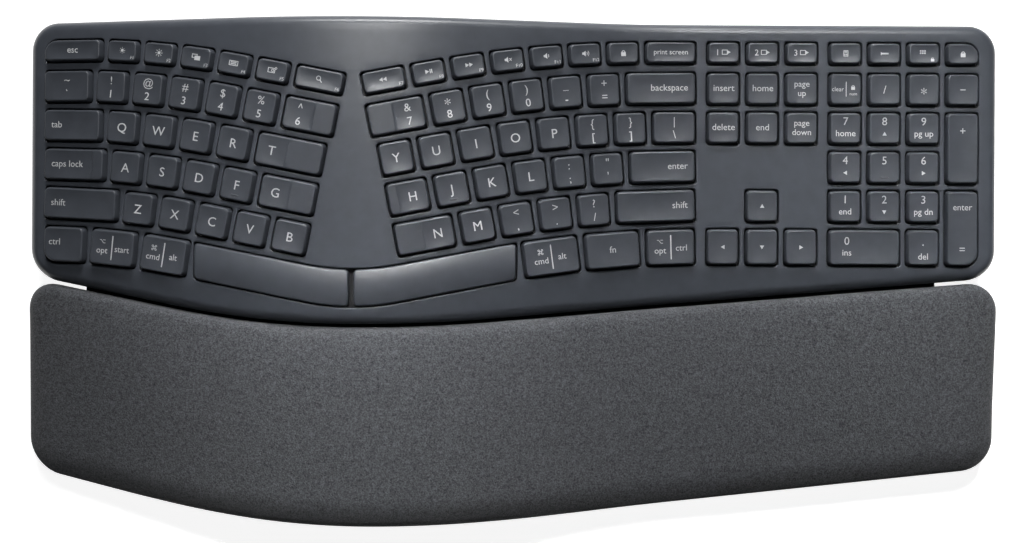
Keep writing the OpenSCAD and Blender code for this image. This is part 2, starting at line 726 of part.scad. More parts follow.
// Rubber cups and crossed links under every key, standing on the membrane
seat_gap = 0.15;
seat = membrane_drop * cos(left_slope) - seat_gap;
dome_d = 5.6;
dome_top = 0.6;
dome_wall = 0.6;
dome_rise = 0.2;
dome_h = seat + dome_rise;
cap_walls = 2 * (cap_gap + cap_taper + cap_wall);
link_t = 0.8;
link_l = 8.6;
link_rise = 15;
link_bar = 1;
link_side = 0.7;
link_room = 0.2;
SPACE_KEYS = [[left_space_x, meet_x], [meet_x, right_space_x]];
function space_key(span) = let (x = (span[0] + span[1]) / 2)
    [span[0], span[1], row_y[bottom_row] - bottom_drop(x), 0, bottom_d];
// Function keys have their links turned along X
function low_key(key) = key[4] < key_d;
function link_length(key) = min(link_l, key[4] - cap_walls - 2 * link_room);
function link_width(key) = min(low_key(key) ? opening_w(key) : key[4], key_d) - cap_walls - 4 * link_room;
module rubber_domes() {
    color(rubber_colour)
        for (key = concat(ALL_KEYS, [for (span = SPACE_KEYS) space_key(span)])) {
            size = min(dome_d, link_length(key) - 2 * link_bar - 2 * link_room);
            on_deck(key)
                translate([0, 0, -seat])
                    difference() {
                        cylinder(h = dome_h, d1 = size, d2 = size * dome_top);
                        translate([0, 0, -past])
                            cylinder(h = dome_h - dome_wall + past, d = size * dome_top - dome_wall);
                    }
        }
}

module link(length, width, turn) {
    rotate([0, turn, 0])
        difference() {
            cube([length, width, link_t], center = true);
            cube([length - 2 * link_bar, width - 2 * link_side, 2 * link_t], center = true);
        }
}
module scissor_links() {
    color("#e8e8e4")
        for (key = ALL_KEYS) {
            width = link_width(key);
            on_deck(key)
                translate([0, 0, -seat / 2])
                    rotate([0, 0, low_key(key) ? 90 : 0]) {
                        link(link_length(key), width, link_rise);
                        link(link_length(key), width - 2 * (link_side + link_room), -link_rise);
                    }
        }
}

// Wires that keep the long keys level: a bar with two arms
wire_d = 1;
wire_end = 5;
wire_y = (key_d - cap_walls + wire_d) / 2 - link_room;
wire_rise = 60;
wire_arm = 2.2;
module wire(length) {
    translate([-length / 2, 0, 0])
        rotate([0, 90, 0])
            cylinder(h = length, d = wire_d);
    for (side = [-1, 1])
        translate([side * (length - wire_d) / 2, 0, 0])
            rotate([wire_rise, 0, 0])
                cylinder(h = wire_arm, d = wire_d);
}
module stabiliser_wires() {
    color(steel_colour)
        for (key = WIRED_KEYS) {
            tall = key[4] > opening_w(key);
            length = max(key[4], opening_w(key)) - 2 * wire_end;
            on_chord(key)
                rotate([0, 0, tall ? 90 : 0])
                    translate([0, wire_y, -cap_foot - wire_d])
                        wire(length);
        }
}

module controller_board() {
    color("#2f6b46")
        translate([board_x, board_y, board_z])
            difference() {
                cube([board_w, board_d, board_t]);
                for (post = BOARD_POSTS)
                    translate([post[0] - board_x, post[1] - board_y, -past])
                        cylinder(h = board_t + 2 * past, d = screw_d);
            }
}

module battery_contacts() {
    color(steel_colour)
        for (side = [-1, 1], lane = [-1, 1])
            translate([bay_x + side * (bay_l - contact_t) / 2, bay_y + lane * battery_lane, battery_z])
                cube([contact_t, contact_w, contact_w], center = true);
}

// Two cells lying head to tail
module batteries() {
    button_l = 1;
    button_d = 3.8;
    color("#9a9da0")
        for (lane = [-1, 1])
            translate([bay_x, bay_y + lane * battery_lane, battery_z])
                rotate([0, 90 * lane, 0]) {
                    translate([0, 0, -battery_l / 2])
                        cylinder(h = battery_l - button_l, d = battery_d);
                    translate([0, 0, battery_l / 2 - button_l])
                        cylinder(h = button_l, d = button_d);
                }
}

module battery_door() {
    near_y = bay_y - bay_d / 2 + part_gap;
    color(case_colour) {
        translate([bay_x - bay_l / 2 + part_gap, near_y, floor_z])
            cube([bay_l - 2 * part_gap, door_hinge_y - near_y, door_t]);
        translate([bay_x - bay_l / 2 + part_gap, door_hinge_y, floor_z + door_t / 2])
            rotate([0, 90, 0])
                cylinder(h = bay_l - 2 * part_gap, d = door_t);
        translate([bay_x - bay_l / 2 - hinge_stub + part_gap, door_hinge_y, floor_z + door_t / 2])
            rotate([0, 90, 0])
                cylinder(h = bay_l + 2 * (hinge_stub - part_gap), d = door_t / 2);
    }
}

module power_switch() {
    color(rubber_colour) {
        translate([switch_x - switch_w / 2, switch_y - switch_d / 2, floor_z + part_gap])
            cube([switch_w, switch_d, floor_t]);
        translate([switch_x - switch_w / 2 - switch_flange, switch_y - switch_d / 2 - switch_flange,
            floor_top + switch_lift])
            cube([switch_w + 2 * switch_flange, switch_d + 2 * switch_flange, switch_flange_t]);
    }
}

// Palm rest heights: the deck's arch, a step lower, falling towards the typist
rim_gap = 0.5;
rim_z = floor_top + rim_gap;
shell_rise = 1.4;
shell_min = floor_top + shell_t + shell_rise;
function palm_z(x, y) = arch_z(x) - palm_step - (front_y - y) * tan(palm_fall);
shell_sink = cover_t + foam_t + side_gap;
function shell_z(x, y) = max(palm_z(x, y) - shell_sink, shell_min);
module palm_body(inset, under, low) {
    intersection() {
        translate([0, 0, low])
            linear_extrude(crest_z)
                polygon(palm_outline(inset));
        union() {
            translate([0, front_y, -palm_step - shell_sink - under])
                rotate([palm_fall, 0, 0])
                    under_arch(0, -crest_z);
            translate([-far, -far, low])
                cube([2 * far, 2 * far, shell_min - under - low]);
        }
    }
}
module palm_rest_shell() {
    color(case_colour)
        difference() {
            union() {
                difference() {
                    palm_body(shell_inset, 0, floor_top);
                    palm_body(shell_inset + shell_t, shell_t, floor_top - past);
                }
                intersection() {
                    palm_body(shell_inset, 0, pad_top);
                    for (p = PALM_SCREWS)
                        translate([p[0], p[1], pad_top])
                            cylinder(h = crest_z, d = pillar_d);
                }
            }
            for (p = PALM_SCREWS)
                translate([p[0], p[1], 0])
                    cylinder(h = palm_screw_seat + screw_l + screw_gap, d = screw_d + 2 * pin_gap);
        }
}

// Cushion skins: rings round the outline, from the foot up over the rounded side to the crown
// Each ring is [inset, share of the height]
RINGS = [[draw_in, 0], [0.7, 0.25], [0, 0.5], [1, 0.74], [3.6, 0.9], [8.5, 0.98], [17, 1], [31, 1]];
crown = 1;
crown_ring = 6;
// Rings of the foam's inner wall, and the step between the rings after them
wall_rings = 2;
wall_step = 0.8;
function ring_points(ring, inset, sink) =
    let (share = RINGS[ring][1])
    [for (p = palm_outline(RINGS[ring][0] + inset))
        [p[0], p[1], rim_z + (palm_z(p[0], p[1]) + (ring < crown_ring ? 0 : crown) - sink - rim_z) * share]];
function wall_points(ring, inset, sink) =
    let (share = RINGS[ring][1], deep = max(inset + wall_step * max(0, ring - wall_rings), RINGS[ring][0] + cover_t))
    [for (p = palm_outline(deep))
        [p[0], p[1], rim_z + (shell_z(p[0], p[1]) + sink - rim_z) * min(1, wall_rings * share)]];
ring_n = len(palm_outline(0));
function ring_faces(first, n, flip) = [for (k = [0 : len(RINGS) - 2], i = [0 : n - 1])
    let (a = first + k * n + i, b = first + k * n + (i + 1) % n)
    each flip ? [[a, b, b + n], [a, b + n, a + n]] : [[a, b + n, b], [a, a + n, b + n]]];
// The last ring is closed by strips between its back and front points
function cap_faces(first, n, flip) = [for (i = [0 : n / 2 - 2])
    let (a = first + i, b = first + i + 1, c = first + n - 2 - i, d = first + n - 1 - i)
    each flip ? [[a, b, c], [a, c, d]] : [[a, c, b], [a, d, c]]];
module skin(outer, inner) {
    n = ring_n;
    size = len(RINGS) * n;
    polyhedron(
        points = concat(outer, inner),
        faces = concat(ring_faces(0, n, true), cap_faces((len(RINGS) - 1) * n, n, true),
            ring_faces(size, n, false), cap_faces(size + (len(RINGS) - 1) * n, n, false),
            [for (i = [0 : n - 1]) let (j = (i + 1) % n) each [[j, i, size + i], [j, size + i, size + j]]]));
}
module palm_rest_cover() {
    color(cloth_colour)
        skin([for (k = [0 : len(RINGS) - 1]) each ring_points(k, 0, 0)],
            [for (k = [0 : len(RINGS) - 1]) each ring_points(k, cover_t, cover_t)]);
}
foam_gap = 0.15;
module palm_rest_foam() {
    inset = draw_in + cover_t + foam_gap + foam_side;
    color(foam_colour)
        skin([for (k = [0 : len(RINGS) - 1]) each ring_points(k, cover_t + foam_gap, cover_t + foam_gap)],
            [for (k = [0 : len(RINGS) - 1]) each wall_points(k, inset, side_gap)]);
}

module rubber_feet() {
    color(rubber_colour)
        at_feet()
            linear_extrude(floor_z + foot_sink)
                foot_shape(-pin_gap);
}
module case_screws() {
    color(steel_colour)
        for (p = PILLARS)
            translate([p[0], p[1], pillar_top(p) - screw_seat_t])
                screw();
}
module palm_rest_screws() {
    color(steel_colour)
        for (p = PALM_SCREWS)
            translate([p[0], p[1], palm_screw_seat])
                screw();
}

// Fold-out legs and their pins
module leg(which) {
    color(case_colour)
        difference() {
            union() {
                leg_axis(LEGS[which], leg_w, leg_t);
                translate([LEGS[which][0] - leg_w / 2, LEGS[which][2], leg_z - leg_t / 2])
                    cube([leg_w, LEGS[which][1], leg_t]);
            }
            leg_axis(LEGS[which], leg_w + 2 * past, pin_d + 2 * pin_gap);
        }
}
module left_tall_leg() { leg(0); }
module left_short_leg() { leg(1); }
module right_tall_leg() { leg(2); }
module right_short_leg() { leg(3); }
module leg_pins() {
    color(steel_colour)
        for (leg = LEGS)
            leg_axis(leg, leg_w + 2 * (part_gap + leg_ear), pin_d);
}

// Key nodes
module esc_key() { keycaps([LEFT_SINGLES[0]]); }
module left_function_keys() { keycaps(LEFT_GROUPS[0]); }
module left_number_keys() { keycaps(LEFT_GROUPS[1]); }
module tab_key() { keycaps([LEFT_SINGLES[1]]); }
module left_upper_keys() { keycaps(LEFT_GROUPS[2]); }
module caps_lock_key() { keycaps([LEFT_SINGLES[2]]); }
module left_home_keys() { keycaps(LEFT_GROUPS[3]); }
module left_shift_key() { keycaps([LEFT_SINGLES[3]]); }
module left_lower_keys() { keycaps(LEFT_GROUPS[4]); }
module left_modifier_keys() { keycaps(LEFT_GROUPS[5]); }
module left_space_bar() { space_bar(left_space_x + space_edge, meet_x - space_slot / 2); }
module right_function_keys() { keycaps(RIGHT_GROUPS[0]); }
module right_number_keys() { keycaps(RIGHT_GROUPS[1]); }
module backspace_key() { keycaps([RIGHT_SINGLES[0]]); }
module right_upper_keys() { keycaps(RIGHT_GROUPS[2]); }
module right_home_keys() { keycaps(RIGHT_GROUPS[3]); }
module enter_key() { keycaps([RIGHT_SINGLES[1]]); }
module right_lower_keys() { keycaps(RIGHT_GROUPS[4]); }
module right_shift_key() { keycaps([RIGHT_SINGLES[2]]); }
module right_modifier_keys() { keycaps(RIGHT_GROUPS[5]); }
module right_space_bar() { space_bar(meet_x + space_slot / 2, right_space_x - space_edge); }
module device_keys() { keycaps(NAV_GROUPS[0]); }
module insert_row_keys() { keycaps(NAV_GROUPS[1]); }
module delete_row_keys() { keycaps(NAV_GROUPS[2]); }
module up_arrow_key() { keycaps([ARROWS[0]]); }
module left_arrow_key() { keycaps([ARROWS[1]]); }
module down_arrow_key() { keycaps([ARROWS[2]]); }
module right_arrow_key() { keycaps([ARROWS[3]]); }
module numpad_shortcut_keys() { keycaps(PAD_GROUPS[0]); }
module numpad_operator_keys() { keycaps(PAD_GROUPS[1]); }
module numpad_upper_keys() { keycaps(PAD_GROUPS[2]); }
module numpad_middle_keys() { keycaps(PAD_GROUPS[3]); }
module numpad_lower_keys() { keycaps(PAD_GROUPS[4]); }
module numpad_zero_key() { keycaps([PAD_SINGLES[0]]); }
module numpad_point_key() { keycaps([PAD_SINGLES[1]]); }
module numpad_plus_key() { keycaps([PAD_SINGLES[2]]); }
module numpad_enter_key() { keycaps([PAD_SINGLES[3]]); }

top_case();
bottom_case();
key_plate();
membrane();
rubber_domes();
scissor_links();
stabiliser_wires();
controller_board();
battery_contacts();
batteries();
battery_door();
power_switch();
palm_rest_shell();
palm_rest_foam();
palm_rest_cover();
rubber_feet();
case_screws();
palm_rest_screws();
left_tall_leg();
left_short_leg();
right_tall_leg();
right_short_leg();
leg_pins();
esc_key();
left_function_keys();
left_number_keys();
tab_key();
left_upper_keys();
caps_lock_key();
left_home_keys();
left_shift_key();
left_lower_keys();
left_modifier_keys();
left_space_bar();
right_function_keys();
right_number_keys();
backspace_key();
right_upper_keys();
right_home_keys();
enter_key();
right_lower_keys();
right_shift_key();
right_modifier_keys();
right_space_bar();
device_keys();
insert_row_keys();
delete_row_keys();
up_arrow_key();
left_arrow_key();
down_arrow_key();
right_arrow_key();
numpad_shortcut_keys();
numpad_operator_keys();
numpad_upper_keys();
numpad_middle_keys();
numpad_lower_keys();
numpad_zero_key();
numpad_point_key();
numpad_plus_key();
numpad_enter_key();
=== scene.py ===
"""Dressed scene of an ergonomic split keyboard with a joined, cloth covered palm rest.

Sizes inside the classes are millimetres in the part's own frame: X to the right, Y to the back, Z up.
Patchwork turns them into metres when it makes a mesh.
"""
import json
import logging
import math
from dataclasses import dataclass, field
from enum import Enum
from functools import cache

import bmesh
import bpy
import numpy as np
from mathutils.geometry import delaunay_2d_cdt
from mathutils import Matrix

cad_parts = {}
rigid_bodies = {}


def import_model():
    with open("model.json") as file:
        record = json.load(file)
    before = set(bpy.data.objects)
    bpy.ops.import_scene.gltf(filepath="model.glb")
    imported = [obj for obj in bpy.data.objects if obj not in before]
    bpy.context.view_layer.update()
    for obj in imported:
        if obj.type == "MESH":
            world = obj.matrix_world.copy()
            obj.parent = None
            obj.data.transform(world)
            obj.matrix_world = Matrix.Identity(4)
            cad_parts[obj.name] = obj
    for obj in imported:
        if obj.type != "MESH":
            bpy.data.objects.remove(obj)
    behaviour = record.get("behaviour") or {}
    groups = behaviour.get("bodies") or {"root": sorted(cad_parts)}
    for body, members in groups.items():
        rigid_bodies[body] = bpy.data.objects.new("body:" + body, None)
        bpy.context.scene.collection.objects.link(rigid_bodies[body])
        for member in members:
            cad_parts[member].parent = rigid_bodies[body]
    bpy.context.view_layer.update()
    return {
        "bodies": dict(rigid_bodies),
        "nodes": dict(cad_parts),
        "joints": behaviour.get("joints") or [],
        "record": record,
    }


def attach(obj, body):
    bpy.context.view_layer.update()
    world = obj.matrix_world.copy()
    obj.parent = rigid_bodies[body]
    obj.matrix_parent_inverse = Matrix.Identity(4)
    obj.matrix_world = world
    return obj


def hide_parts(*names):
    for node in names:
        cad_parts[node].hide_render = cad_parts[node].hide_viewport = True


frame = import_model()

LOG = logging.getLogger("keyboard")
MM = 0.001
Array = np.ndarray
Colour = tuple[float, float, float]


class Align(Enum):
    """Edge of a key that a legend keeps its distance from."""

    LEFT = -1
    CENTRE = 0
    RIGHT = 1


class Icon(Enum):
    """Small pictures printed on keys."""

    DIM, BRIGHT, SCREENS, PANEL, CAMERA, LENS, REWIND, PLAY, FORWARD, MUTE, QUIET, LOUD = range(12)
    LOCK, DEVICE, SUMS, STRIP, GRID, UP, DOWN, BACK, ON, KNOT, BRANCH, DIVIDER = range(12, 24)


class Recipe:
    """A material's node tree, with short ways to add and feed its nodes."""

    def __init__(self, name: str) -> None:
        """Starts a material with its usual surface shader."""
        self.material = bpy.data.materials.new(name)
        self.material.use_nodes = True
        self.tree = self.material.node_tree
        self.shader = self.tree.nodes["Principled BSDF"]
        self.place = self.add("ShaderNodeTexCoord").outputs["Object"]

    def give(self, socket: bpy.types.NodeSocket, value: object) -> None:
        """Links a socket to another node's, or sets its value."""
        if isinstance(value, bpy.types.NodeSocket):
            self.tree.links.new(value, socket)
        else:
            socket.default_value = value

    def feed(self, node: bpy.types.Node, **values: object) -> bpy.types.Node:
        """Links or sets a node's sockets.

        Args:
            node: the node.
            values: sockets by name, with _ for a space, or else the node's own settings.

        Returns:
            The same node.
        """
        for key, value in values.items():
            socket = node.inputs.get(key.replace("_", " "))
            if socket is None:
                setattr(node, key, value)
            else:
                self.give(socket, value)
        return node

    def add(self, kind: str, **values: object) -> bpy.types.Node:
        """Adds a node of one of Blender's kinds, and feeds it."""
        return self.feed(self.tree.nodes.new(kind), **values)

    def math(self, operation: str, *values: object) -> bpy.types.NodeSocket:
        """Result of a sum over sockets and numbers."""
        node = self.add("ShaderNodeMath", operation=operation)
        for socket, value in zip(node.inputs, values):
            self.give(socket, value)
        return node.outputs["Value"]

    def noise(self, size: float, detail: float = 2.0) -> bpy.types.NodeSocket:
        """Cloudy pattern whose features are about size millimetres across."""
        node = self.add("ShaderNodeTexNoise", Vector=self.place, Scale=1.0 / (size * MM), Detail=detail)
        return node.outputs["Fac"]

    def cells(self, size: float) -> bpy.types.NodeSocket:
        """Distance to the nearest of scattered points about size millimetres apart."""
        node = self.add("ShaderNodeTexVoronoi", Vector=self.place, Scale=1.0 / (size * MM))
        return node.outputs["Distance"]

    def spread(self, source: bpy.types.NodeSocket, low: float, high: float,
               usual: tuple[float, float] = (0.3, 0.7)) -> bpy.types.NodeSocket:
        """Maps a pattern from its usual range onto low to high."""
        node = self.add("ShaderNodeMapRange", Value=source, From_Min=usual[0], From_Max=usual[1],
                        To_Min=low, To_Max=high)
        return node.outputs["Result"]

    def between(self, factor: bpy.types.NodeSocket, dark: Colour, light: Colour) -> bpy.types.NodeSocket:
        """Colour between dark and light, led by a pattern."""
        node = self.add("ShaderNodeValToRGB", Fac=factor)
        for element, colour in zip(node.color_ramp.elements, (dark, light)):
            element.color = (*colour, 1.0)
        return node.outputs["Color"]

    def relief(self, height: bpy.types.NodeSocket, depth: float) -> None:
        """Turns a pattern into a relief of that depth in millimetres."""
        node = self.add("ShaderNodeBump", Height=height, Strength=1.0, Distance=depth * MM)
        self.feed(self.shader, Normal=node.outputs["Normal"])


def shade(colour: Colour, factor: float) -> Colour:
    """The colour made darker or lighter by a factor."""
    return tuple(min(1.0, channel * factor) for channel in colour)


@dataclass(frozen=True)
class Finish:
    """What a surface is made of, as one material."""

    name: str

    def make(self) -> bpy.types.Material:
        """Makes the material's nodes."""
        raise NotImplementedError

    @cache
    def material(self) -> bpy.types.Material:
        """The material, made when it is first asked for."""
        return self.make()


@dataclass(frozen=True)
class Moulded(Finish):
    """Moulded, cut or rolled surface: one colour with a fine mottle and a fine grain."""

    colour: Colour
    roughness: float = 0.45
    metallic: float = 0.0
    specular: float = 0.5
    grain: float = 0.28
    depth: float = 0.006
    mottle: float = 0.08
    patch: float = 6.0
    wear: float = 0.05

    def make(self) -> bpy.types.Material:
        """Colour and roughness drift over patches, and the grain is a relief."""
        recipe = Recipe(self.name)
        drift = recipe.spread(recipe.noise(self.patch, 4.0), 0.0, 1.0)
        ends = [shade(self.colour, 1.0 + self.mottle * way) for way in (-1, 1)]
        patches = recipe.noise(self.grain * 4.0)
        recipe.relief(recipe.noise(self.grain, 3.0), self.depth)
        recipe.feed(recipe.shader, Base_Color=recipe.between(drift, *ends), Metallic=self.metallic,
                    Roughness=recipe.spread(patches, self.roughness - self.wear, self.roughness + self.wear),
                    Specular_IOR_Level=self.specular)
        return recipe.material


@dataclass(frozen=True)
class Knit(Finish):
    """Stretched heather knit: dark and light yarns in fine specks, with a soft sheen."""

    dark: Colour
    light: Colour
    speck: float = 0.75
    blotch: float = 0.35
    contrast: tuple[float, float] = (0.45, 0.92)
    stitch: float = 0.55
    depth: float = 0.12
    sheen: float = 0.25

    def make(self) -> bpy.types.Material:
        """Specks of two sizes lead the colour, and scattered stitches make the relief."""
        recipe = Recipe(self.name)
        fine = recipe.noise(self.speck, 3.0)
        mixed = recipe.math("MULTIPLY_ADD", recipe.noise(self.speck * 2.6), self.blotch, fine)
        colour = recipe.between(recipe.spread(mixed, 0.0, 1.0, self.contrast), self.dark, self.light)
        recipe.relief(recipe.cells(self.stitch), self.depth)
        recipe.feed(recipe.shader, Base_Color=colour, Roughness=recipe.spread(fine, 0.85, 1.0),
                    Specular_IOR_Level=0.15, Sheen_Weight=self.sheen, Sheen_Roughness=0.45)
        return recipe.material


@dataclass(frozen=True)
class Backdrop(Finish):
    """Pale floor: white to the camera, with the shadow that falls on it."""

    colour: Colour = (0.6, 0.6, 0.6)
    glow: float = 0.9

    def make(self) -> bpy.types.Material:
        """A matt surface plus a glow that only camera, mirror and glass rays see."""
        recipe = Recipe(self.name)
        speck = recipe.spread(recipe.noise(3.0), 0.0, 1.0)
        colour = recipe.between(speck, shade(self.colour, 0.99), self.colour)
        recipe.feed(recipe.shader, Base_Color=colour, Roughness=0.95, Specular_IOR_Level=0.0)
        rays = recipe.add("ShaderNodeLightPath").outputs
        seen = recipe.math("MAXIMUM", rays["Is Camera Ray"], rays["Is Glossy Ray"])
        seen = recipe.math("MAXIMUM", seen, rays["Is Transmission Ray"])
        light = recipe.add("ShaderNodeEmission", Color=(1.0, 1.0, 1.0, 1.0),
                           Strength=recipe.math("MULTIPLY", seen, self.glow))
        total = recipe.add("ShaderNodeAddShader")
        recipe.give(total.inputs[0], recipe.shader.outputs["BSDF"])
        recipe.give(total.inputs[1], light.outputs["Emission"])
        recipe.feed(recipe.tree.nodes["Material Output"], Surface=total.outputs["Shader"])
        return recipe.material


GRAPHITE = Moulded("graphite_satin", (0.052, 0.058, 0.070), 0.36)
KEY_GREY = Moulded("key_satin", (0.050, 0.0555, 0.0665), 0.38, grain=0.22)
LEGEND_INK = Moulded("legend_ink", (0.52, 0.53, 0.54), 0.55, mottle=0.03, patch=2.0)
HEATHER = Knit("heather_knit", (0.023, 0.0245, 0.028), (0.101, 0.105, 0.113))
BASE_GREY = Moulded("underside_satin", (0.03, 0.032, 0.036), 0.5)
SOFT_BLACK = Moulded("rubber_matt", (0.018, 0.018, 0.02), 0.85, specular=0.3, grain=0.5, depth=0.02)
SHEET_STEEL = Moulded("rolled_steel", (0.5, 0.51, 0.53), 0.35, metallic=1.0, grain=0.6, mottle=0.12)
# Blackened steel for the plate and wires, kept near black partly as painted shade so the key gaps read black.
DARK_STEEL_GAP_SHADE = Moulded("blackened_steel", (0.012, 0.012, 0.013), 0.5, metallic=0.3, grain=0.6)
# Membrane colour: a dark film, made near black as painted shade so the gaps round the keys read black.
GAP_SHADE_FILM = Moulded("printed_film", (0.01, 0.01, 0.011), 0.4, grain=0.8, patch=3.0)
LINK_GREY = Moulded("link_resin", (0.03, 0.03, 0.032), 0.6)
CIRCUIT = Moulded("circuit_board", (0.03, 0.13, 0.07), 0.4, mottle=0.25, patch=2.0)
CELL_FOIL = Moulded("cell_foil", (0.34, 0.35, 0.36), 0.3, metallic=0.8, mottle=0.1)
FLOOR = Backdrop("floor_white")


def hang(name: str, data: bpy.types.ID) -> bpy.types.Object:
    """Puts a mesh, text, lamp or camera into the scene as an object of that name."""
    item = bpy.data.objects.new(name, data)
    bpy.context.scene.collection.objects.link(item)
    return item


@dataclass
class Patchwork:
    """Collects surface patches in millimetres and sews them into one mesh."""

    points: list[Array] = field(default_factory=list)
    faces: list[Array] = field(default_factory=list)
    count: int = 0

    def add(self, points: Array, faces: Array) -> None:
        """Adds points (n, 3) and faces (k, sides) that number those points from nought."""
        self.points.append(points)
        self.faces.append(faces + self.count)
        self.count += len(points)

    def grid(self, surface: Array, closed: bool = False) -> None:
        """Adds a surface on a grid, with a quad between each four neighbours.

        Its outer side is that of the column direction crossed with the row direction.

        Args:
            surface: points (rows, columns, 3).
            closed: joins the last column to the first.
        """
        rows, columns = surface.shape[:2]
        index = np.arange(rows * columns).reshape(rows, columns)
        ahead = np.roll(index, -1, axis=1)
        quads = np.stack((index[:-1], ahead[:-1], ahead[1:], index[1:]), axis=-1)
        if not closed:
            quads = quads[:, :-1]
        self.add(surface.reshape(-1, 3), quads.reshape(-1, 4))

    def lid(self, loop: Array) -> None:
        """Adds one many-sided face whose points (n, 3) run counterclockwise seen from its outer side."""
        self.add(loop, np.arange(len(loop))[None, :])

    def make(self, name: str, finish: Finish, body: str, crease: float = 40.0) -> bpy.types.Object:
        """Sews the patches, smooths the faces and puts the piece on its body.

        Args:
            name: name of the piece.
            finish: what it is made of.
            body: moving body that it rides on.
            crease: angle in degrees above which an edge stays sharp.

        Returns:
            The new object.
        """
        points = np.concatenate(self.points) * MM
        corners = np.concatenate([block.ravel() for block in self.faces])
        sides = np.concatenate([np.full(len(block), block.shape[1]) for block in self.faces])
        mesh = bpy.data.meshes.new(name)
        mesh.vertices.add(len(points))
        mesh.vertices.foreach_set("co", points.ravel())
        mesh.loops.add(len(corners))
        mesh.loops.foreach_set("vertex_index", corners.astype(np.int32))
        mesh.polygons.add(len(sides))
        mesh.polygons.foreach_set("loop_start", (np.cumsum(sides) - sides).astype(np.int32))
        mesh.update(calc_edges=True)
        mesh.validate()
        sewn = bmesh.new()
        sewn.from_mesh(mesh)
        bmesh.ops.remove_doubles(sewn, verts=sewn.verts, dist=0.002 * MM)
        bmesh.ops.dissolve_degenerate(sewn, edges=sewn.edges, dist=0.001 * MM)
        sewn.to_mesh(mesh)
        sewn.free()
        mesh.polygons.foreach_set("use_smooth", np.ones(len(mesh.polygons), dtype=bool))
        mesh.set_sharp_from_angle(angle=math.radians(crease))
        mesh.materials.append(finish.material())
        piece = hang(name, mesh)
        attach(piece, body)
        LOG.info("%s: %d faces on %s", name, len(mesh.polygons), body)
        return piece


@dataclass(frozen=True)
class Cell:
    """Place of one key on the deck: its ends along X, its middle along Y, its turn and its depth."""

    x0: float
    x1: float
    y: float
    turn: float
    depth: float


def bend(run: Array, radius: float, turn: float) -> Array:
    """Fall of a line that turns through an arc and then runs straight at the full turn."""
    arc = np.clip(run, 0.0, radius * math.sin(turn))
    rest = np.maximum(run - radius * math.sin(turn), 0.0)
    return radius - np.sqrt(radius * radius - arc * arc) + rest * math.tan(turn)


Bends = tuple[float, float, float, float]


def two_bends(away: Array, bends: Bends) -> Array:
    """Rise of a line on both sides of a place: radius and degrees of the left bend, then of the right."""
    left_r, left_turn, right_r, right_turn = bends
    return bend(-away, left_r, math.radians(left_turn)) + bend(away, right_r, math.radians(right_turn))


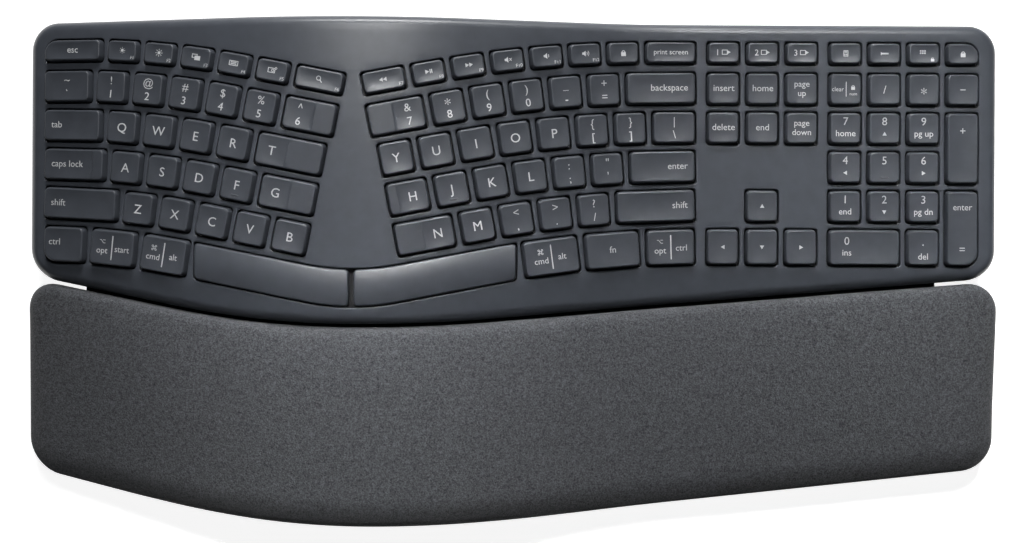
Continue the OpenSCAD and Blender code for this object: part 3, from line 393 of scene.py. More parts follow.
@dataclass
class Layout:
    """Sizes of the part, and where each key, edge and height lies."""

    key_pitch: float = 18.15
    letter_pitch: float = 17.85
    web: float = 2.1
    function_d: float = 11.4
    function_web: float = 2.9
    bottom_d: float = 17.9
    space_slot: float = 2.0
    apron_slope: float = math.radians(9.0)
    straight: tuple[float, float] = (11.0, 12.0)
    bend_r: tuple[float, float] = (420.0, 530.0)
    row_turn: float = math.radians(11.0)
    row_skew: float = 3.2
    space_bend_r: float = 110.0
    split_gap: float = 5.3
    block_gap: float = 2.2
    margins: tuple[float, float, float, float] = (6.7, 7.7, 8.2, 7.5)
    crest_z: float = 45.5
    crest_r: float = 270.0
    left_slope: float = math.radians(12.0)
    right_slope: float = math.radians(11.0)
    runout_r: float = 200.0
    level_run: float = 10.8
    corner_r: float = 13.0
    front_bends: Bends = (460.0, 10.8, 800.0, 4.8)
    palm_bends: Bends = (520.0, 13.1, 930.0, 6.3)
    palm_low_shift: float = 8.2
    palm_overhang: float = 1.8
    palm_gap: float = 1.6
    palm_d: float = 92.6
    palm_step: float = 2.0
    palm_fall: float = math.radians(3.0)
    palm_corner_r: float = 14.5
    left_rows: tuple[tuple[float, ...], ...] = (
        (1.75, 1, 1, 1, 1, 1, 1.4), (1.45, 1, 1, 1, 1, 1, 1.5), (1.75, 1, 1, 1, 1, 1.9),
        (1.85, 1, 1, 1, 1, 1.6), (2.2, 1, 1, 1, 1, 1.05), (1.3, 1.4, 1.4))
    right_rows: tuple[tuple[float, ...], ...] = (
        (1.25, 1, 1, 1, 1, 1, 1, 1.5), (1.6, 1, 1, 1, 1, 1, 2), (1, 1, 1, 1, 1, 1, 1, 1.3),
        (1.2, 1, 1, 1, 1, 1, 1.9), (1.65, 1, 1, 1, 1, 2.25), (1.6, 1.6, 1.45))

    def __post_init__(self) -> None:
        """Works out the places that follow from the sizes."""
        left, right, back, front = self.margins
        letters = (sum(self.left_rows[0]) + sum(self.right_rows[0])) * self.letter_pitch
        blocks = 2 * self.block_gap + 7 * self.key_pitch
        self.width = left + letters + self.split_gap + blocks + right
        self.left_x = left - self.width / 2
        self.crest_x = self.left_x + sum(self.left_rows[0]) * self.letter_pitch + self.split_gap / 2
        self.right_x = self.crest_x + self.split_gap / 2 + sum(self.right_rows[0]) * self.letter_pitch
        self.nav_x = self.right_x + self.block_gap
        self.pad_x = self.nav_x + 3 * self.key_pitch + self.block_gap
        runs = [self.run(side, self.crest_x, 5) for side in (0, 1)]
        falls = [float(bend(run, radius, self.row_turn)) for run, radius in zip(runs, self.bend_r)]
        self.meet_x = self.crest_x + (falls[1] - falls[0]) / (2 * math.tan(self.row_turn))
        self.space_drop = sum(falls) / 2 - self.space_bend_r * (1 / math.cos(self.row_turn) - 1)
        key_d = self.key_pitch - self.web
        self.row_d = (self.function_d, key_d, key_d, key_d, key_d, self.bottom_d)
        keys_d = self.function_d + self.function_web + 4 * self.key_pitch + self.bottom_d
        self.back_y = (back + keys_d + self.space_drop + front + self.palm_gap + self.palm_d) / 2
        first = self.back_y - back - self.function_d / 2
        second = first - self.function_d / 2 - self.function_web - key_d / 2
        last = second - 3 * self.key_pitch - key_d / 2 - self.web - self.bottom_d / 2
        self.row_y = (first, *(second - i * self.key_pitch for i in range(4)), last)
        self.front_y = last - self.bottom_d / 2 - self.space_drop - front
        self.flat_x = self.right_x - self.level_run
        self.runout_x = self.flat_x - self.runout_r * math.sin(self.right_slope)
        runout_z = self.crest_z - float(bend(self.runout_x - self.crest_x, self.crest_r, self.right_slope))
        self.flat_z = runout_z - self.runout_r * (1 - math.cos(self.right_slope))

    def run(self, side: int, x: Array, row: int) -> Array:
        """Length of a row between x and where its bend starts, on the left (0) or right (1) half."""
        if side == 0:
            return x - self.left_x - self.straight[0] + self.row_skew * row
        return self.right_x - self.straight[1] + self.row_skew * row - x

    def arch(self, x: Array) -> Array:
        """Height of the deck: an arc over the crest, two slopes, and a hollow arc out to the level end."""
        away = np.asarray(x, dtype=float) - self.crest_x
        left = self.crest_z - bend(-away, self.crest_r, self.left_slope)
        right = self.crest_z - bend(away, self.crest_r, self.right_slope)
        short = np.clip(self.flat_x - np.asarray(x, dtype=float), 0.0, self.runout_r)
        level = self.flat_z + self.runout_r - np.sqrt(self.runout_r ** 2 - short ** 2)
        return np.where(away < 0.0, left, np.where(x < self.runout_x, right, level))

    def bottom_line(self, x: Array) -> Array:
        """Middle of the bottom row along Y: the two rows' bends, joined by one more arc at the crest."""
        away = np.abs(x - self.meet_x)
        half = self.space_bend_r * math.sin(self.row_turn)
        inner = np.minimum(away, half)
        arc = self.space_drop - self.space_bend_r + np.sqrt(self.space_bend_r ** 2 - inner ** 2)
        left = bend(self.run(0, x, 5), self.bend_r[0], self.row_turn)
        right = bend(self.run(1, x, 5), self.bend_r[1], self.row_turn)
        return self.row_y[5] - np.where(away < half, arc, np.where(x < self.meet_x, left, right))

    def deck(self, x: Array, y: Array) -> Array:
        """Height of the deck: the arch, less an apron that falls away in front of the bottom row.

        With d the distance in front of the row, the fall is the slope times (sqrt(d^2 + 1) + d) / 2.
        """
        d = self.bottom_line(x) - self.bottom_d / 2 - self.web / 2 - y
        return self.arch(x) - math.tan(self.apron_slope) * (np.sqrt(d * d + 1.0) + d) / 2

    def thumb_cell(self, first: float, last: float) -> Cell:
        """Cell of a space bar between two places along X."""
        return Cell(first, last, self.row_y[5], 0.0, self.bottom_d)

    def row_key(self, side: int, row: int, i: int) -> Cell:
        """Cell of key i in a row of the left (0) or right (1) half."""
        widths = (self.left_rows, self.right_rows)[side][row]
        start = self.left_x if side == 0 else self.right_x - self.letter_pitch * sum(widths)
        x0 = start + self.letter_pitch * sum(widths[:i])
        x1 = x0 + self.letter_pitch * widths[i]
        run = self.run(side, (x0 + x1) / 2, row)
        turn = math.asin(min(max(run / self.bend_r[side], 0.0), math.sin(self.row_turn)))
        y = self.row_y[row] - float(bend(run, self.bend_r[side], self.row_turn))
        return Cell(x0, x1, y, turn if side else -turn, self.row_d[row])

    def block_key(self, x: float, column: int, row: int, wide: int = 1, deep: int = 1) -> Cell:
        """Cell of a block key that starts at a column and row and spans some of each."""
        last = row + deep - 1
        y1 = self.row_y[row] + self.row_d[row] / 2
        y0 = self.row_y[last] - self.row_d[last] / 2
        x0 = x + column * self.key_pitch
        return Cell(x0, x + (column + wide) * self.key_pitch, (y0 + y1) / 2, 0.0, y1 - y0)

    def body_front(self, x: Array) -> Array:
        """Front edge of the case."""
        return self.front_y + two_bends(x - self.crest_x, self.front_bends)

    def palm_front(self, x: Array) -> Array:
        """Front edge of the palm rest."""
        away = x - self.crest_x - self.palm_low_shift
        return self.front_y - self.palm_gap - self.palm_d + two_bends(away, self.palm_bends)

    def palm_z(self, x: Array, y: Array) -> Array:
        """Height of the palm rest's top, which falls away from the case."""
        return self.arch(x) - self.palm_step - (self.front_y - y) * math.tan(self.palm_fall)

    def outline(self, palm: bool, inset: float, steps: int = 96) -> Array:
        """Outline of the case or the palm rest, moved in.

        Each long edge is a function of x with round ends: y sinks by r - sqrt(r^2 - t^2) over the last r.

        Args:
            palm: the palm rest's outline, and not the case's.
            inset: how far it moves in.
            steps: points along each long edge between its round ends.

        Returns:
            Points (2, n, 2): the front edge and the back edge, both from left to right.
        """
        half = self.width / 2 - inset + (self.palm_overhang if palm else 0.0)
        r = max((self.palm_corner_r if palm else self.corner_r) - inset, 1.0)
        corner = r * (1 - np.cos(np.linspace(0.0, math.pi / 2, 10)))
        middle = np.linspace(r - half, half - r, steps)[1:-1]
        xs = np.concatenate((corner - half, middle, half - corner[::-1]))
        over = np.clip(np.abs(xs) - half + r, 0.0, r)
        sink = inset + r - np.sqrt(np.maximum(r * r - over * over, 0.0))
        front = self.palm_front(xs) if palm else self.body_front(xs)
        back = self.body_front(xs) - self.palm_gap if palm else np.full_like(xs, self.back_y)
        return np.stack((np.stack((xs, front + sink), axis=-1), np.stack((xs, back - sink), axis=-1)))


def ring_of(edges: Array) -> Array:
    """Closed counterclockwise ring (2n, 2) from a front and a back edge."""
    return np.concatenate((edges[0], edges[1][::-1]))


def raised(flat: Array, height: Array | float) -> Array:
    """Places (..., 2) lifted to their heights."""
    return np.concatenate((flat, np.broadcast_to(height, flat.shape[:-1])[..., None]), axis=-1)


def quarter_round(radius: float, steps: int) -> list[tuple[float, float]]:
    """Distances in from the outside and down from the top along a quarter round, from its top edge."""
    turns = np.linspace(0.0, math.pi / 2, steps)
    return list(zip(radius * (1 - np.sin(turns)), radius * (1 - np.cos(turns))))


def side_of(a: float, b: float, r0: float, r1: float, stops: Array, steps: int = 3) -> Array:
    """Front side of a rounded rectangle, from the middle of one corner's arc to the middle of the next.

    Args:
        a: half width.
        b: half depth.
        r0: radius of the first corner.
        r1: radius of the second corner.
        stops: places along the straight run, from 0 to 1.
        steps: points on each half arc.

    Returns:
        Points (n, 2).
    """
    part = np.arange(steps) / steps * math.pi / 4
    first = math.radians(225) + part
    last = math.radians(315) - part[::-1]
    start = np.stack((r0 - a + r0 * np.cos(first), r0 - b + r0 * np.sin(first)), axis=-1)
    run = np.stack((r0 - a + (2 * a - r0 - r1) * stops, np.full(len(stops), -b)), axis=-1)
    end = np.stack((a - r1 + r1 * np.cos(last), r1 - b + r1 * np.sin(last)), axis=-1)
    return np.concatenate((start, run, end))


@dataclass
class Plate:
    """A rounded rectangle: half sizes, four corner radii from front left round to back left, and stops."""

    a: float
    b: float
    radii: tuple[float, float, float, float]
    stops_u: Array
    stops_v: Array

    def sides(self, inset: float = 0.0) -> list[Array]:
        """Its four sides in turn, moved in: the front side turned by quarters."""
        sw, se, ne, nw = (max(r - inset, 0.05) for r in self.radii)
        a, b = self.a - inset, self.b - inset
        front = side_of(a, b, sw, se, self.stops_u)
        right = side_of(b, a, se, ne, self.stops_v)
        back = side_of(a, b, ne, nw, 1 - self.stops_u[::-1])
        left = side_of(b, a, nw, sw, 1 - self.stops_v[::-1])
        return [front, right[:, ::-1] * (-1, 1), -back, left[:, ::-1] * (1, -1)]

    def loop(self, inset: float = 0.0) -> Array:
        """Closed counterclockwise outline (n, 2), moved in."""
        return np.concatenate([side[:-1] for side in self.sides(inset)])

    def patch(self, inset: float = 0.0) -> Array:
        """Grid over the plate, blended from its four sides as a Coons patch.

        The blend is the front to back mix plus the left to right mix, less the mix of the four corners.

        Args:
            inset: how far the sides move in.

        Returns:
            Points (rows, columns, 2).
        """
        front, right, back, left = self.sides(inset)
        back, left = back[::-1], left[::-1]
        u = ((front[:, 0] - front[0, 0]) / (front[-1, 0] - front[0, 0]))[None, :, None]
        v = ((right[:, 1] - right[0, 1]) / (right[-1, 1] - right[0, 1]))[:, None, None]
        along = (1 - v) * front[None] + v * back[None]
        across = (1 - u) * left[:, None] + u * right[:, None]
        corners = ((1 - v) * ((1 - u) * front[0] + u * front[-1]) + v * ((1 - u) * back[0] + u * back[-1]))
        return along + across - corners


@dataclass(frozen=True)
class Mark:
    """One printed legend: words or a picture, where it stands on the key and how tall it is."""

    what: str | Icon
    u: float = 0.0
    v: float = 0.0
    size: float = 1.0
    align: Align = Align.CENTRE


@dataclass
class Key:
    """One key with a dished top, standing in its cell on the deck."""

    layout: Layout
    cell: Cell
    marks: tuple[Mark, ...] = ()
    big_corner: int = -1
    wing: int = 0
    main: float = 13.9
    step: float = 0.2
    homing: bool = False
    gap: float = 0.5
    taper: float = 0.6
    proud: float = 2.5
    foot: float = -1.4
    ceiling: float = 0.7
    wall: float = 1.2
    fillet: float = 0.6
    dish: float = 0.5
    corner: float = 1.9
    big_r: float = 5.5
    ink_over: float = 0.03
    ink_under: float = 0.12

    def __post_init__(self) -> None:
        """Sets the key's frame on the chord of the arch across its cell."""
        z0, z1 = (float(self.layout.arch(x)) for x in (self.cell.x0, self.cell.x1))
        slope = math.atan2(z1 - z0, self.cell.x1 - self.cell.x0)
        cell_w = (self.cell.x1 - self.cell.x0) / math.cos(slope) / math.cos(self.cell.turn)
        self.half_w = (cell_w - self.layout.web) / 2
        self.half_d = self.cell.depth / 2
        self.origin = np.array(((self.cell.x0 + self.cell.x1) / 2, self.cell.y, (z0 + z1) / 2))
        c, s = math.cos(slope), math.sin(slope)
        tilt = np.array(((c, 0, -s), (0, 1, 0), (s, 0, c)))
        c, s = math.cos(self.cell.turn), math.sin(self.cell.turn)
        self.frame = tilt @ np.array(((c, -s, 0), (s, c, 0), (0, 0, 1)))

    def place(self, points: Array) -> Array:
        """Moves points (..., 3) from the key's own frame to the part's."""
        return points @ self.frame.T + self.origin

    def shelf(self, flat: Array, drop: float) -> Array:
        """Points (n, 3) on the deck round the key, a drop below it, from places (n, 2) in the key's frame."""
        spots = self.place(raised(flat, 0.0))
        return raised(spots[:, :2], self.layout.arch(spots[:, 0]) - drop)

    def radii(self, plain: float, big: float) -> tuple[float, float, float, float]:
        """Four corner radii, one of them big where the key stands in the case's own corner."""
        return tuple(big if i == self.big_corner else plain for i in range(4))

    @property
    def top_half(self) -> tuple[float, float]:
        """Half width and half depth of the top, at its outer edge."""
        return self.half_w - self.gap - self.taper, self.half_d - self.gap - self.taper

    @property
    def fold(self) -> float:
        """Place along the width where the dished main part ends and a wing starts."""
        return self.wing * (self.main - self.top_half[0])

    @property
    def middle(self) -> float:
        """Place along the width of the main part's middle."""
        return self.wing * (self.main / 2 - self.top_half[0])

    def plate(self, grow: float, corner: float, big: float, mesh: float = 1.7) -> Plate:
        """Rounded rectangle of the key's top edge grown outwards, with stops that keep the fold on a line."""
        a, b = (half + grow for half in self.top_half)
        first, run = corner - a, 2 * (a - corner)
        stops = np.linspace(0.0, 1.0, max(6, round(2 * a / mesh)))
        if self.wing:
            turn = (self.fold - first) / run
            stops = np.unique(np.concatenate((stops[np.abs(stops - turn) > 0.8 / run],
                                              turn + self.wing * np.array((-0.4, 0.0, 0.3)) / run)))
        return Plate(a, b, self.radii(corner, big), stops, np.linspace(0.0, 1.0, max(6, round(2 * b / mesh))))

    def top(self, u: Array, v: Array) -> Array:
        """Height of the top: a dish with a level edge, and past the fold a level wing, a step higher.

        The dish is deepest in the middle, falls with 1 - |s|^p along the width and 1 - |t|^2.2 along the
        depth, and p grows with the width so that a wide key stays level along its middle. Towards a wing
        the dish is cut off before it has risen to its edge.
        """
        half_u, half_v = (half - self.fillet for half in self.top_half)
        reach = self.main / 2 - self.fillet if self.wing else half_u
        power = 2.2 * max(1.0, reach / half_v)
        depth_power = 2.2 * max(1.0, half_v / reach)
        away = u - self.middle
        s = np.clip(np.abs(away) / np.where(away * self.wing > 0.0, 1.3 * reach, reach), 0.0, 1.0)
        t = np.clip(np.abs(v) / half_v, 0.0, 1.0)
        sunk = self.dish * (1 - s ** power) * (1 - t ** depth_power)
        if self.wing:
            sunk = np.where((u - self.fold) * self.wing > 0.01, 0.0, sunk + self.step)
        return self.proud - sunk

    def build(self, patchwork: Patchwork) -> None:
        """Adds the cap: hollow inside, a leaning skirt, a rounded edge and the dished top."""
        plate = self.plate(0.0, self.corner, self.big_r)
        rim = plate.loop(self.fillet)
        edge = self.top(rim[:, 0], rim[:, 1])
        inner, skirt = plate.loop(self.wall), plate.loop(-self.taper)
        rings = [raised(inner, self.ceiling), raised(inner, self.foot), raised(skirt, self.foot)]
        rings += [raised(plate.loop(inset), edge - drop)
                  for inset, drop in reversed(quarter_round(self.fillet, 4))]
        patchwork.grid(self.place(np.stack(rings)), closed=True)
        patchwork.lid(self.place(rings[0][::-1]))
        flat = plate.patch(self.fillet)
        patchwork.grid(self.place(raised(flat, self.top(flat[..., 0], flat[..., 1]))))
        if self.homing:
            self.build_homing(patchwork)

    def build_homing(self, patchwork: Patchwork, half: float = 2.1, v0: float = -4.7,
                     radii: tuple[float, float] = (0.38, 0.3)) -> None:
        """Adds a raised bar: an ellipse carried along the width, drawn to a point at both ends."""
        u = np.linspace(-half, half, 9)[:, None]
        turn = np.linspace(0.0, 2 * math.pi, 10, endpoint=False)[None, :]
        swell = (1 - (u / half) ** 4) ** 0.5
        v = v0 + radii[0] * swell * np.cos(turn)
        w = self.top(u + 0 * v, v) + radii[1] * swell * np.sin(turn)
        patchwork.grid(self.place(np.stack((u + 0 * v, v, w), axis=-1)), closed=True)

    def build_marks(self, patchwork: Patchwork, stamps: "Stamps") -> None:
        """Adds its legends, laid on the top."""
        edge = self.half_w - self.gap
        for mark in self.marks:
            start = mark.u + (self.middle if mark.align is Align.CENTRE else mark.align.value * edge)
            for points, faces in stamps.shape(mark):
                u, v = points[:, 0] + start, points[:, 1] + mark.v
                w = self.top(u, v) + np.where(points[:, 2] > 0.0, self.ink_over, -self.ink_under)
                placed = self.place(np.stack((u, v, w), axis=-1))
                for block in faces:
                    patchwork.add(placed, block)


@dataclass
class SpaceBar(Key):
    """A long thumb key that follows the arch and the bottom row's bend, and rolls down to the front."""

    ceiling: float = -0.2
    taper: float = 0.25
    fillet: float = 0.7
    crown: float = 0.95

    def __post_init__(self) -> None:
        """Takes the cell's ends and depth along the curved row."""
        self.half_w = (self.cell.x1 - self.cell.x0 - self.layout.web) / 2
        self.half_d = self.cell.depth / 2
        self.centre = (self.cell.x0 + self.cell.x1) / 2

    def place(self, points: Array) -> Array:
        """Carries points along the curved row, on the arch."""
        x = self.centre + points[..., 0]
        y = self.layout.bottom_line(x) + points[..., 1]
        return np.stack((x, y, self.layout.arch(x) + points[..., 2]), axis=-1)

    def top(self, u: Array, v: Array) -> Array:
        """Height of the top: crowned from back to front, sinking with the square of the distance."""
        return self.proud + 0.0 * u - self.crown * (v / (self.top_half[1] - self.fillet)) ** 2


Solid = tuple[Array, list[Array]]


class Stamps:
    """Flat shapes of letters and pictures, as thin solids with their face up."""

    thin = 0.26
    stroke = 0.28
    half = 0.05
    capital_middle = 0.36
    small_middle = 0.26

    def __init__(self) -> None:
        """Draws the pictures; a mark's solids are made when they are first asked for."""
        self.made: dict[Mark, list[Solid]] = {}
        self.pictures = self.draw()

    def shape(self, mark: Mark) -> list[Solid]:
        """Solids of a mark about its own place, made once."""
        if mark not in self.made:
            if isinstance(mark.what, Icon):
                self.made[mark] = [self.prism(outline * mark.size) for outline in self.pictures[mark.what]]
            else:
                self.made[mark] = [self.words(mark)]
        return self.made[mark]

    def words(self, mark: Mark) -> Solid:
        """Letters in the plain built-in face, with their middle height at nought."""
        curve = bpy.data.curves.new("legend", "FONT")
        curve.body = mark.what
        curve.size = mark.size
        curve.align_x = mark.align.name if mark.align is not Align.CENTRE else "CENTER"
        curve.extrude = self.half
        curve.resolution_u = 3
        holder = hang("legend", curve)
        mesh = holder.evaluated_get(bpy.context.evaluated_depsgraph_get()).to_mesh()
        points = np.empty(len(mesh.vertices) * 3)
        mesh.vertices.foreach_get("co", points)
        points = points.reshape(-1, 3)
        mesh.calc_loop_triangles()
        corners = np.empty(len(mesh.loop_triangles) * 3, dtype=np.int32)
        mesh.loop_triangles.foreach_get("vertices", corners)
        bpy.data.objects.remove(holder)
        bpy.data.curves.remove(curve)
        small = len(mark.what) > 1 and mark.what.islower()
        points[:, 1] -= (self.small_middle if small else self.capital_middle) * mark.size
        return points, [corners.reshape(-1, 3)]

    def prism(self, outline: Array) -> Solid:
        """Thin solid over a counterclockwise outline (n, 2)."""
        n = len(outline)
        points = np.concatenate((raised(outline, self.half), raised(outline, -self.half)))
        i = np.arange(n)
        ahead = np.roll(i, -1)
        walls = np.stack((i, i + n, ahead + n, ahead), axis=-1)
        return points, [i[None, :], i[None, ::-1] + n, walls]

    @staticmethod
    def box(x0: float, y0: float, x1: float, y1: float) -> Array:
        """Rectangle."""
        return np.array(((x0, y0), (x1, y0), (x1, y1), (x0, y1)), dtype=float)

    @staticmethod
    def arc(x: float, y: float, r: float, width: float, first: float = 0.0,
            last: float = 360.0) -> list[Array]:
        """Two halves of a ring's stretch between two angles in degrees."""
        halves = []
        for start in (first, (first + last) / 2):
            turn = np.radians(np.linspace(start, start + (last - first) / 2, 9))
            unit = np.stack((np.cos(turn), np.sin(turn)), axis=-1)
            halves.append(np.concatenate((unit * r, unit[::-1] * (r - width))) + (x, y))
        return halves

    @staticmethod
    def disc(x: float, y: float, r: float) -> Array:
        """Round spot."""
        turn = np.linspace(0.0, 2 * math.pi, 14, endpoint=False)
        return np.stack((x + r * np.cos(turn), y + r * np.sin(turn)), axis=-1)

    @staticmethod
    def line(x0: float, y0: float, x1: float, y1: float, width: float) -> Array:
        """Straight stroke."""
        way = np.array((x1 - x0, y1 - y0)) / math.hypot(x1 - x0, y1 - y0)
        out = np.array((way[1], -way[0])) * width / 2
        return np.array(((x0, y0) + out, (x1, y1) + out, (x1, y1) - out, (x0, y0) - out))

    def frame(self, x0: float, y0: float, x1: float, y1: float, width: float = stroke) -> list[Array]:
        """Outline of a rectangle in four strokes."""
        left, right, low, high = x0 + width, x1 - width, y0 + width, y1 - width
        return [self.box(x0, y0, x1, low), self.box(x0, high, x1, y1),
                self.box(x0, low, left, high), self.box(right, low, x1, high)]

    @staticmethod
    def pointer(x: float, y: float, size: float, turn: float) -> Array:
        """Triangle that points along an angle in degrees."""
        turns = np.radians(turn + np.array((0.0, 120.0, 240.0)))
        return np.stack((x + size * np.cos(turns), y + size * np.sin(turns)), axis=-1)

    def speaker(self, waves: int) -> list[Array]:
        """Loudspeaker with a number of sound waves."""
        cone = np.array(((-1.3, -0.45), (-0.75, -0.45), (0.1, -1.15), (0.1, 1.15), (-0.75, 0.45),
                         (-1.3, 0.45)))
        rings = [self.arc(0.0, 0.0, 0.9 + 0.65 * i, self.thin, -45.0, 45.0) for i in range(waves)]
        return [cone] + [half for ring in rings for half in ring]

    def sun(self, reach: float, start: float = 0.95) -> list[Array]:
        """Spot with eight rays."""
        turns = np.radians(np.arange(0.0, 360.0, 45.0))
        rays = [self.line(start * c, start * s, reach * c, reach * s, self.thin)
                for c, s in zip(np.cos(turns), np.sin(turns))]
        return [self.disc(0.0, 0.0, 0.62)] + rays

    def draw(self) -> dict[Icon, list[Array]]:
        """Outlines of every picture about its middle."""
        box, line, arc, pointer, frame = self.box, self.line, self.arc, self.pointer, self.frame
        thin, stroke = self.thin, self.stroke
        loops = [half for x in (-0.8, 0.8) for y in (-0.8, 0.8) for half in arc(x, y, 0.5, thin)]
        dots = [box(x - 0.35, y - 0.35, x + 0.35, y + 0.35) for x in (-1.0, 0.0, 1.0) for y in (-0.5, 0.5)]
        return {
            Icon.DIM: self.sun(1.2),
            Icon.BRIGHT: self.sun(1.55),
            Icon.SCREENS: frame(-1.8, -0.4, 0.5, 1.2) + [box(-0.6, -1.2, 1.8, 0.5)],
            Icon.PANEL: frame(-1.9, -1.0, 1.9, 1.0) + [box(-1.2, -0.45, 1.2, -0.1), box(-1.2, 0.2, 1.2, 0.5)],
            Icon.CAMERA: frame(-1.7, -1.1, 1.3, 0.9) + arc(0.3, -0.1, 0.6, thin) + arc(1.5, 0.9, 0.5, 0.25),
            Icon.LENS: arc(-0.25, 0.25, 0.95, stroke) + [line(0.4, -0.4, 1.25, -1.25, 0.34)],
            Icon.REWIND: [pointer(-0.8, 0.0, 0.95, 180.0), pointer(0.75, 0.0, 0.95, 180.0)],
            Icon.FORWARD: [pointer(-0.75, 0.0, 0.95, 0.0), pointer(0.8, 0.0, 0.95, 0.0)],
            Icon.PLAY: [pointer(-0.8, 0.0, 1.0, 0.0), box(0.45, -0.8, 0.8, 0.8), box(1.1, -0.8, 1.45, 0.8)],
            Icon.MUTE: self.speaker(0) + [line(0.6, -0.5 * way, 1.5, 0.5 * way, thin) for way in (1, -1)],
            Icon.QUIET: self.speaker(1),
            Icon.LOUD: self.speaker(2),
            Icon.LOCK: [box(-0.95, -1.3, 0.95, 0.25)] + arc(0.0, 0.25, 0.75, stroke, 0.0, 180.0),
            Icon.DEVICE: frame(-1.4, -1.0, 0.9, 1.0) + [pointer(1.3, 0.0, 0.85, 0.0)],
            Icon.SUMS: frame(-1.1, -1.4, 1.1, 1.4) + [
                box(-0.6, 0.45, 0.6, 0.9), box(-0.6, -0.9, -0.2, -0.1), box(0.2, -0.9, 0.6, -0.1)],
            Icon.STRIP: [box(-1.7, -0.35, 1.7, 0.35), box(-1.9, -0.7, -1.6, 0.7)],
            Icon.GRID: dots,
            Icon.UP: [pointer(0.0, -0.2, 1.15, 90.0)],
            Icon.DOWN: [pointer(0.0, 0.2, 1.15, 270.0)],
            Icon.BACK: [pointer(0.2, 0.0, 1.15, 180.0)],
            Icon.ON: [pointer(-0.2, 0.0, 1.15, 0.0)],
            Icon.KNOT: frame(-0.56, -0.56, 0.56, 0.56, thin) + loops,
            Icon.BRANCH: [line(-1.4, 0.7, -0.6, 0.7, stroke), line(-0.7, 0.75, 0.5, -0.75, stroke),
                          line(0.4, -0.7, 1.4, -0.7, stroke), line(0.2, 0.7, 1.4, 0.7, stroke)],
            Icon.DIVIDER: [box(-0.25, -5.6, 0.25, 5.6)],
        }


Legend = tuple[Mark, ...]
LETTER_SIZE = 6.0
SIGN_SIZE = 5.2
WORD_SIZE = 4.3
PAD_SIZE = 4.1
SHORT_SIZE = 4.0
PICTURE_SCALE = 1.15


def letter(text: str) -> Legend:
    """One capital in the middle of a key."""
    return (Mark(text, size=LETTER_SIZE),)


def sign(text: str, v: float = 0.0) -> Mark:
    """A digit or sign; the star, which the face draws small and high, is made larger and moved down."""
    return Mark(text, v=v - 1.7, size=6.8) if text == "*" else Mark(text, v=v, size=SIGN_SIZE)


def pair(upper: str, lower: str) -> Legend:
    """A sign above another."""
    return sign(upper, 3.1), sign(lower, -3.1)


def word(text: str, align: Align = Align.CENTRE, inset: float = 0.0, v: float = 0.0) -> Legend:
    """A word, in the middle or a distance from one edge."""
    return (Mark(text, -align.value * inset, v, WORD_SIZE, align),)


def function(icon: Icon, name: str) -> Legend:
    """A picture with the small name of a function key."""
    return Mark(icon, v=0.3, size=PICTURE_SCALE), Mark(name, -1.2, -2.8, 2.2, Align.RIGHT)


def split(icon: Icon, left: str, right: str) -> Legend:
    """Two words with a stroke between them, the left one under a picture."""
    return (Mark(icon, -5.0, 2.7), Mark(left, -5.0, -1.7, SHORT_SIZE), Mark(Icon.DIVIDER),
            Mark(right, 4.9, -0.6, SHORT_SIZE))


def pad(digit: str, below: str | Icon | None = None) -> Legend:
    """A digit with a word or an arrow under it."""
    upper = Mark(digit, v=3.4, size=SIGN_SIZE)
    if below is None:
        return (upper,)
    return upper, Mark(below, v=-2.6, size=PAD_SIZE) if isinstance(below, str) else Mark(below, v=-2.5)


def stacked(upper: str, lower: str) -> Legend:
    """Two words, one above the other."""
    return Mark(upper, v=2.1, size=SHORT_SIZE), Mark(lower, v=-2.2, size=SHORT_SIZE)


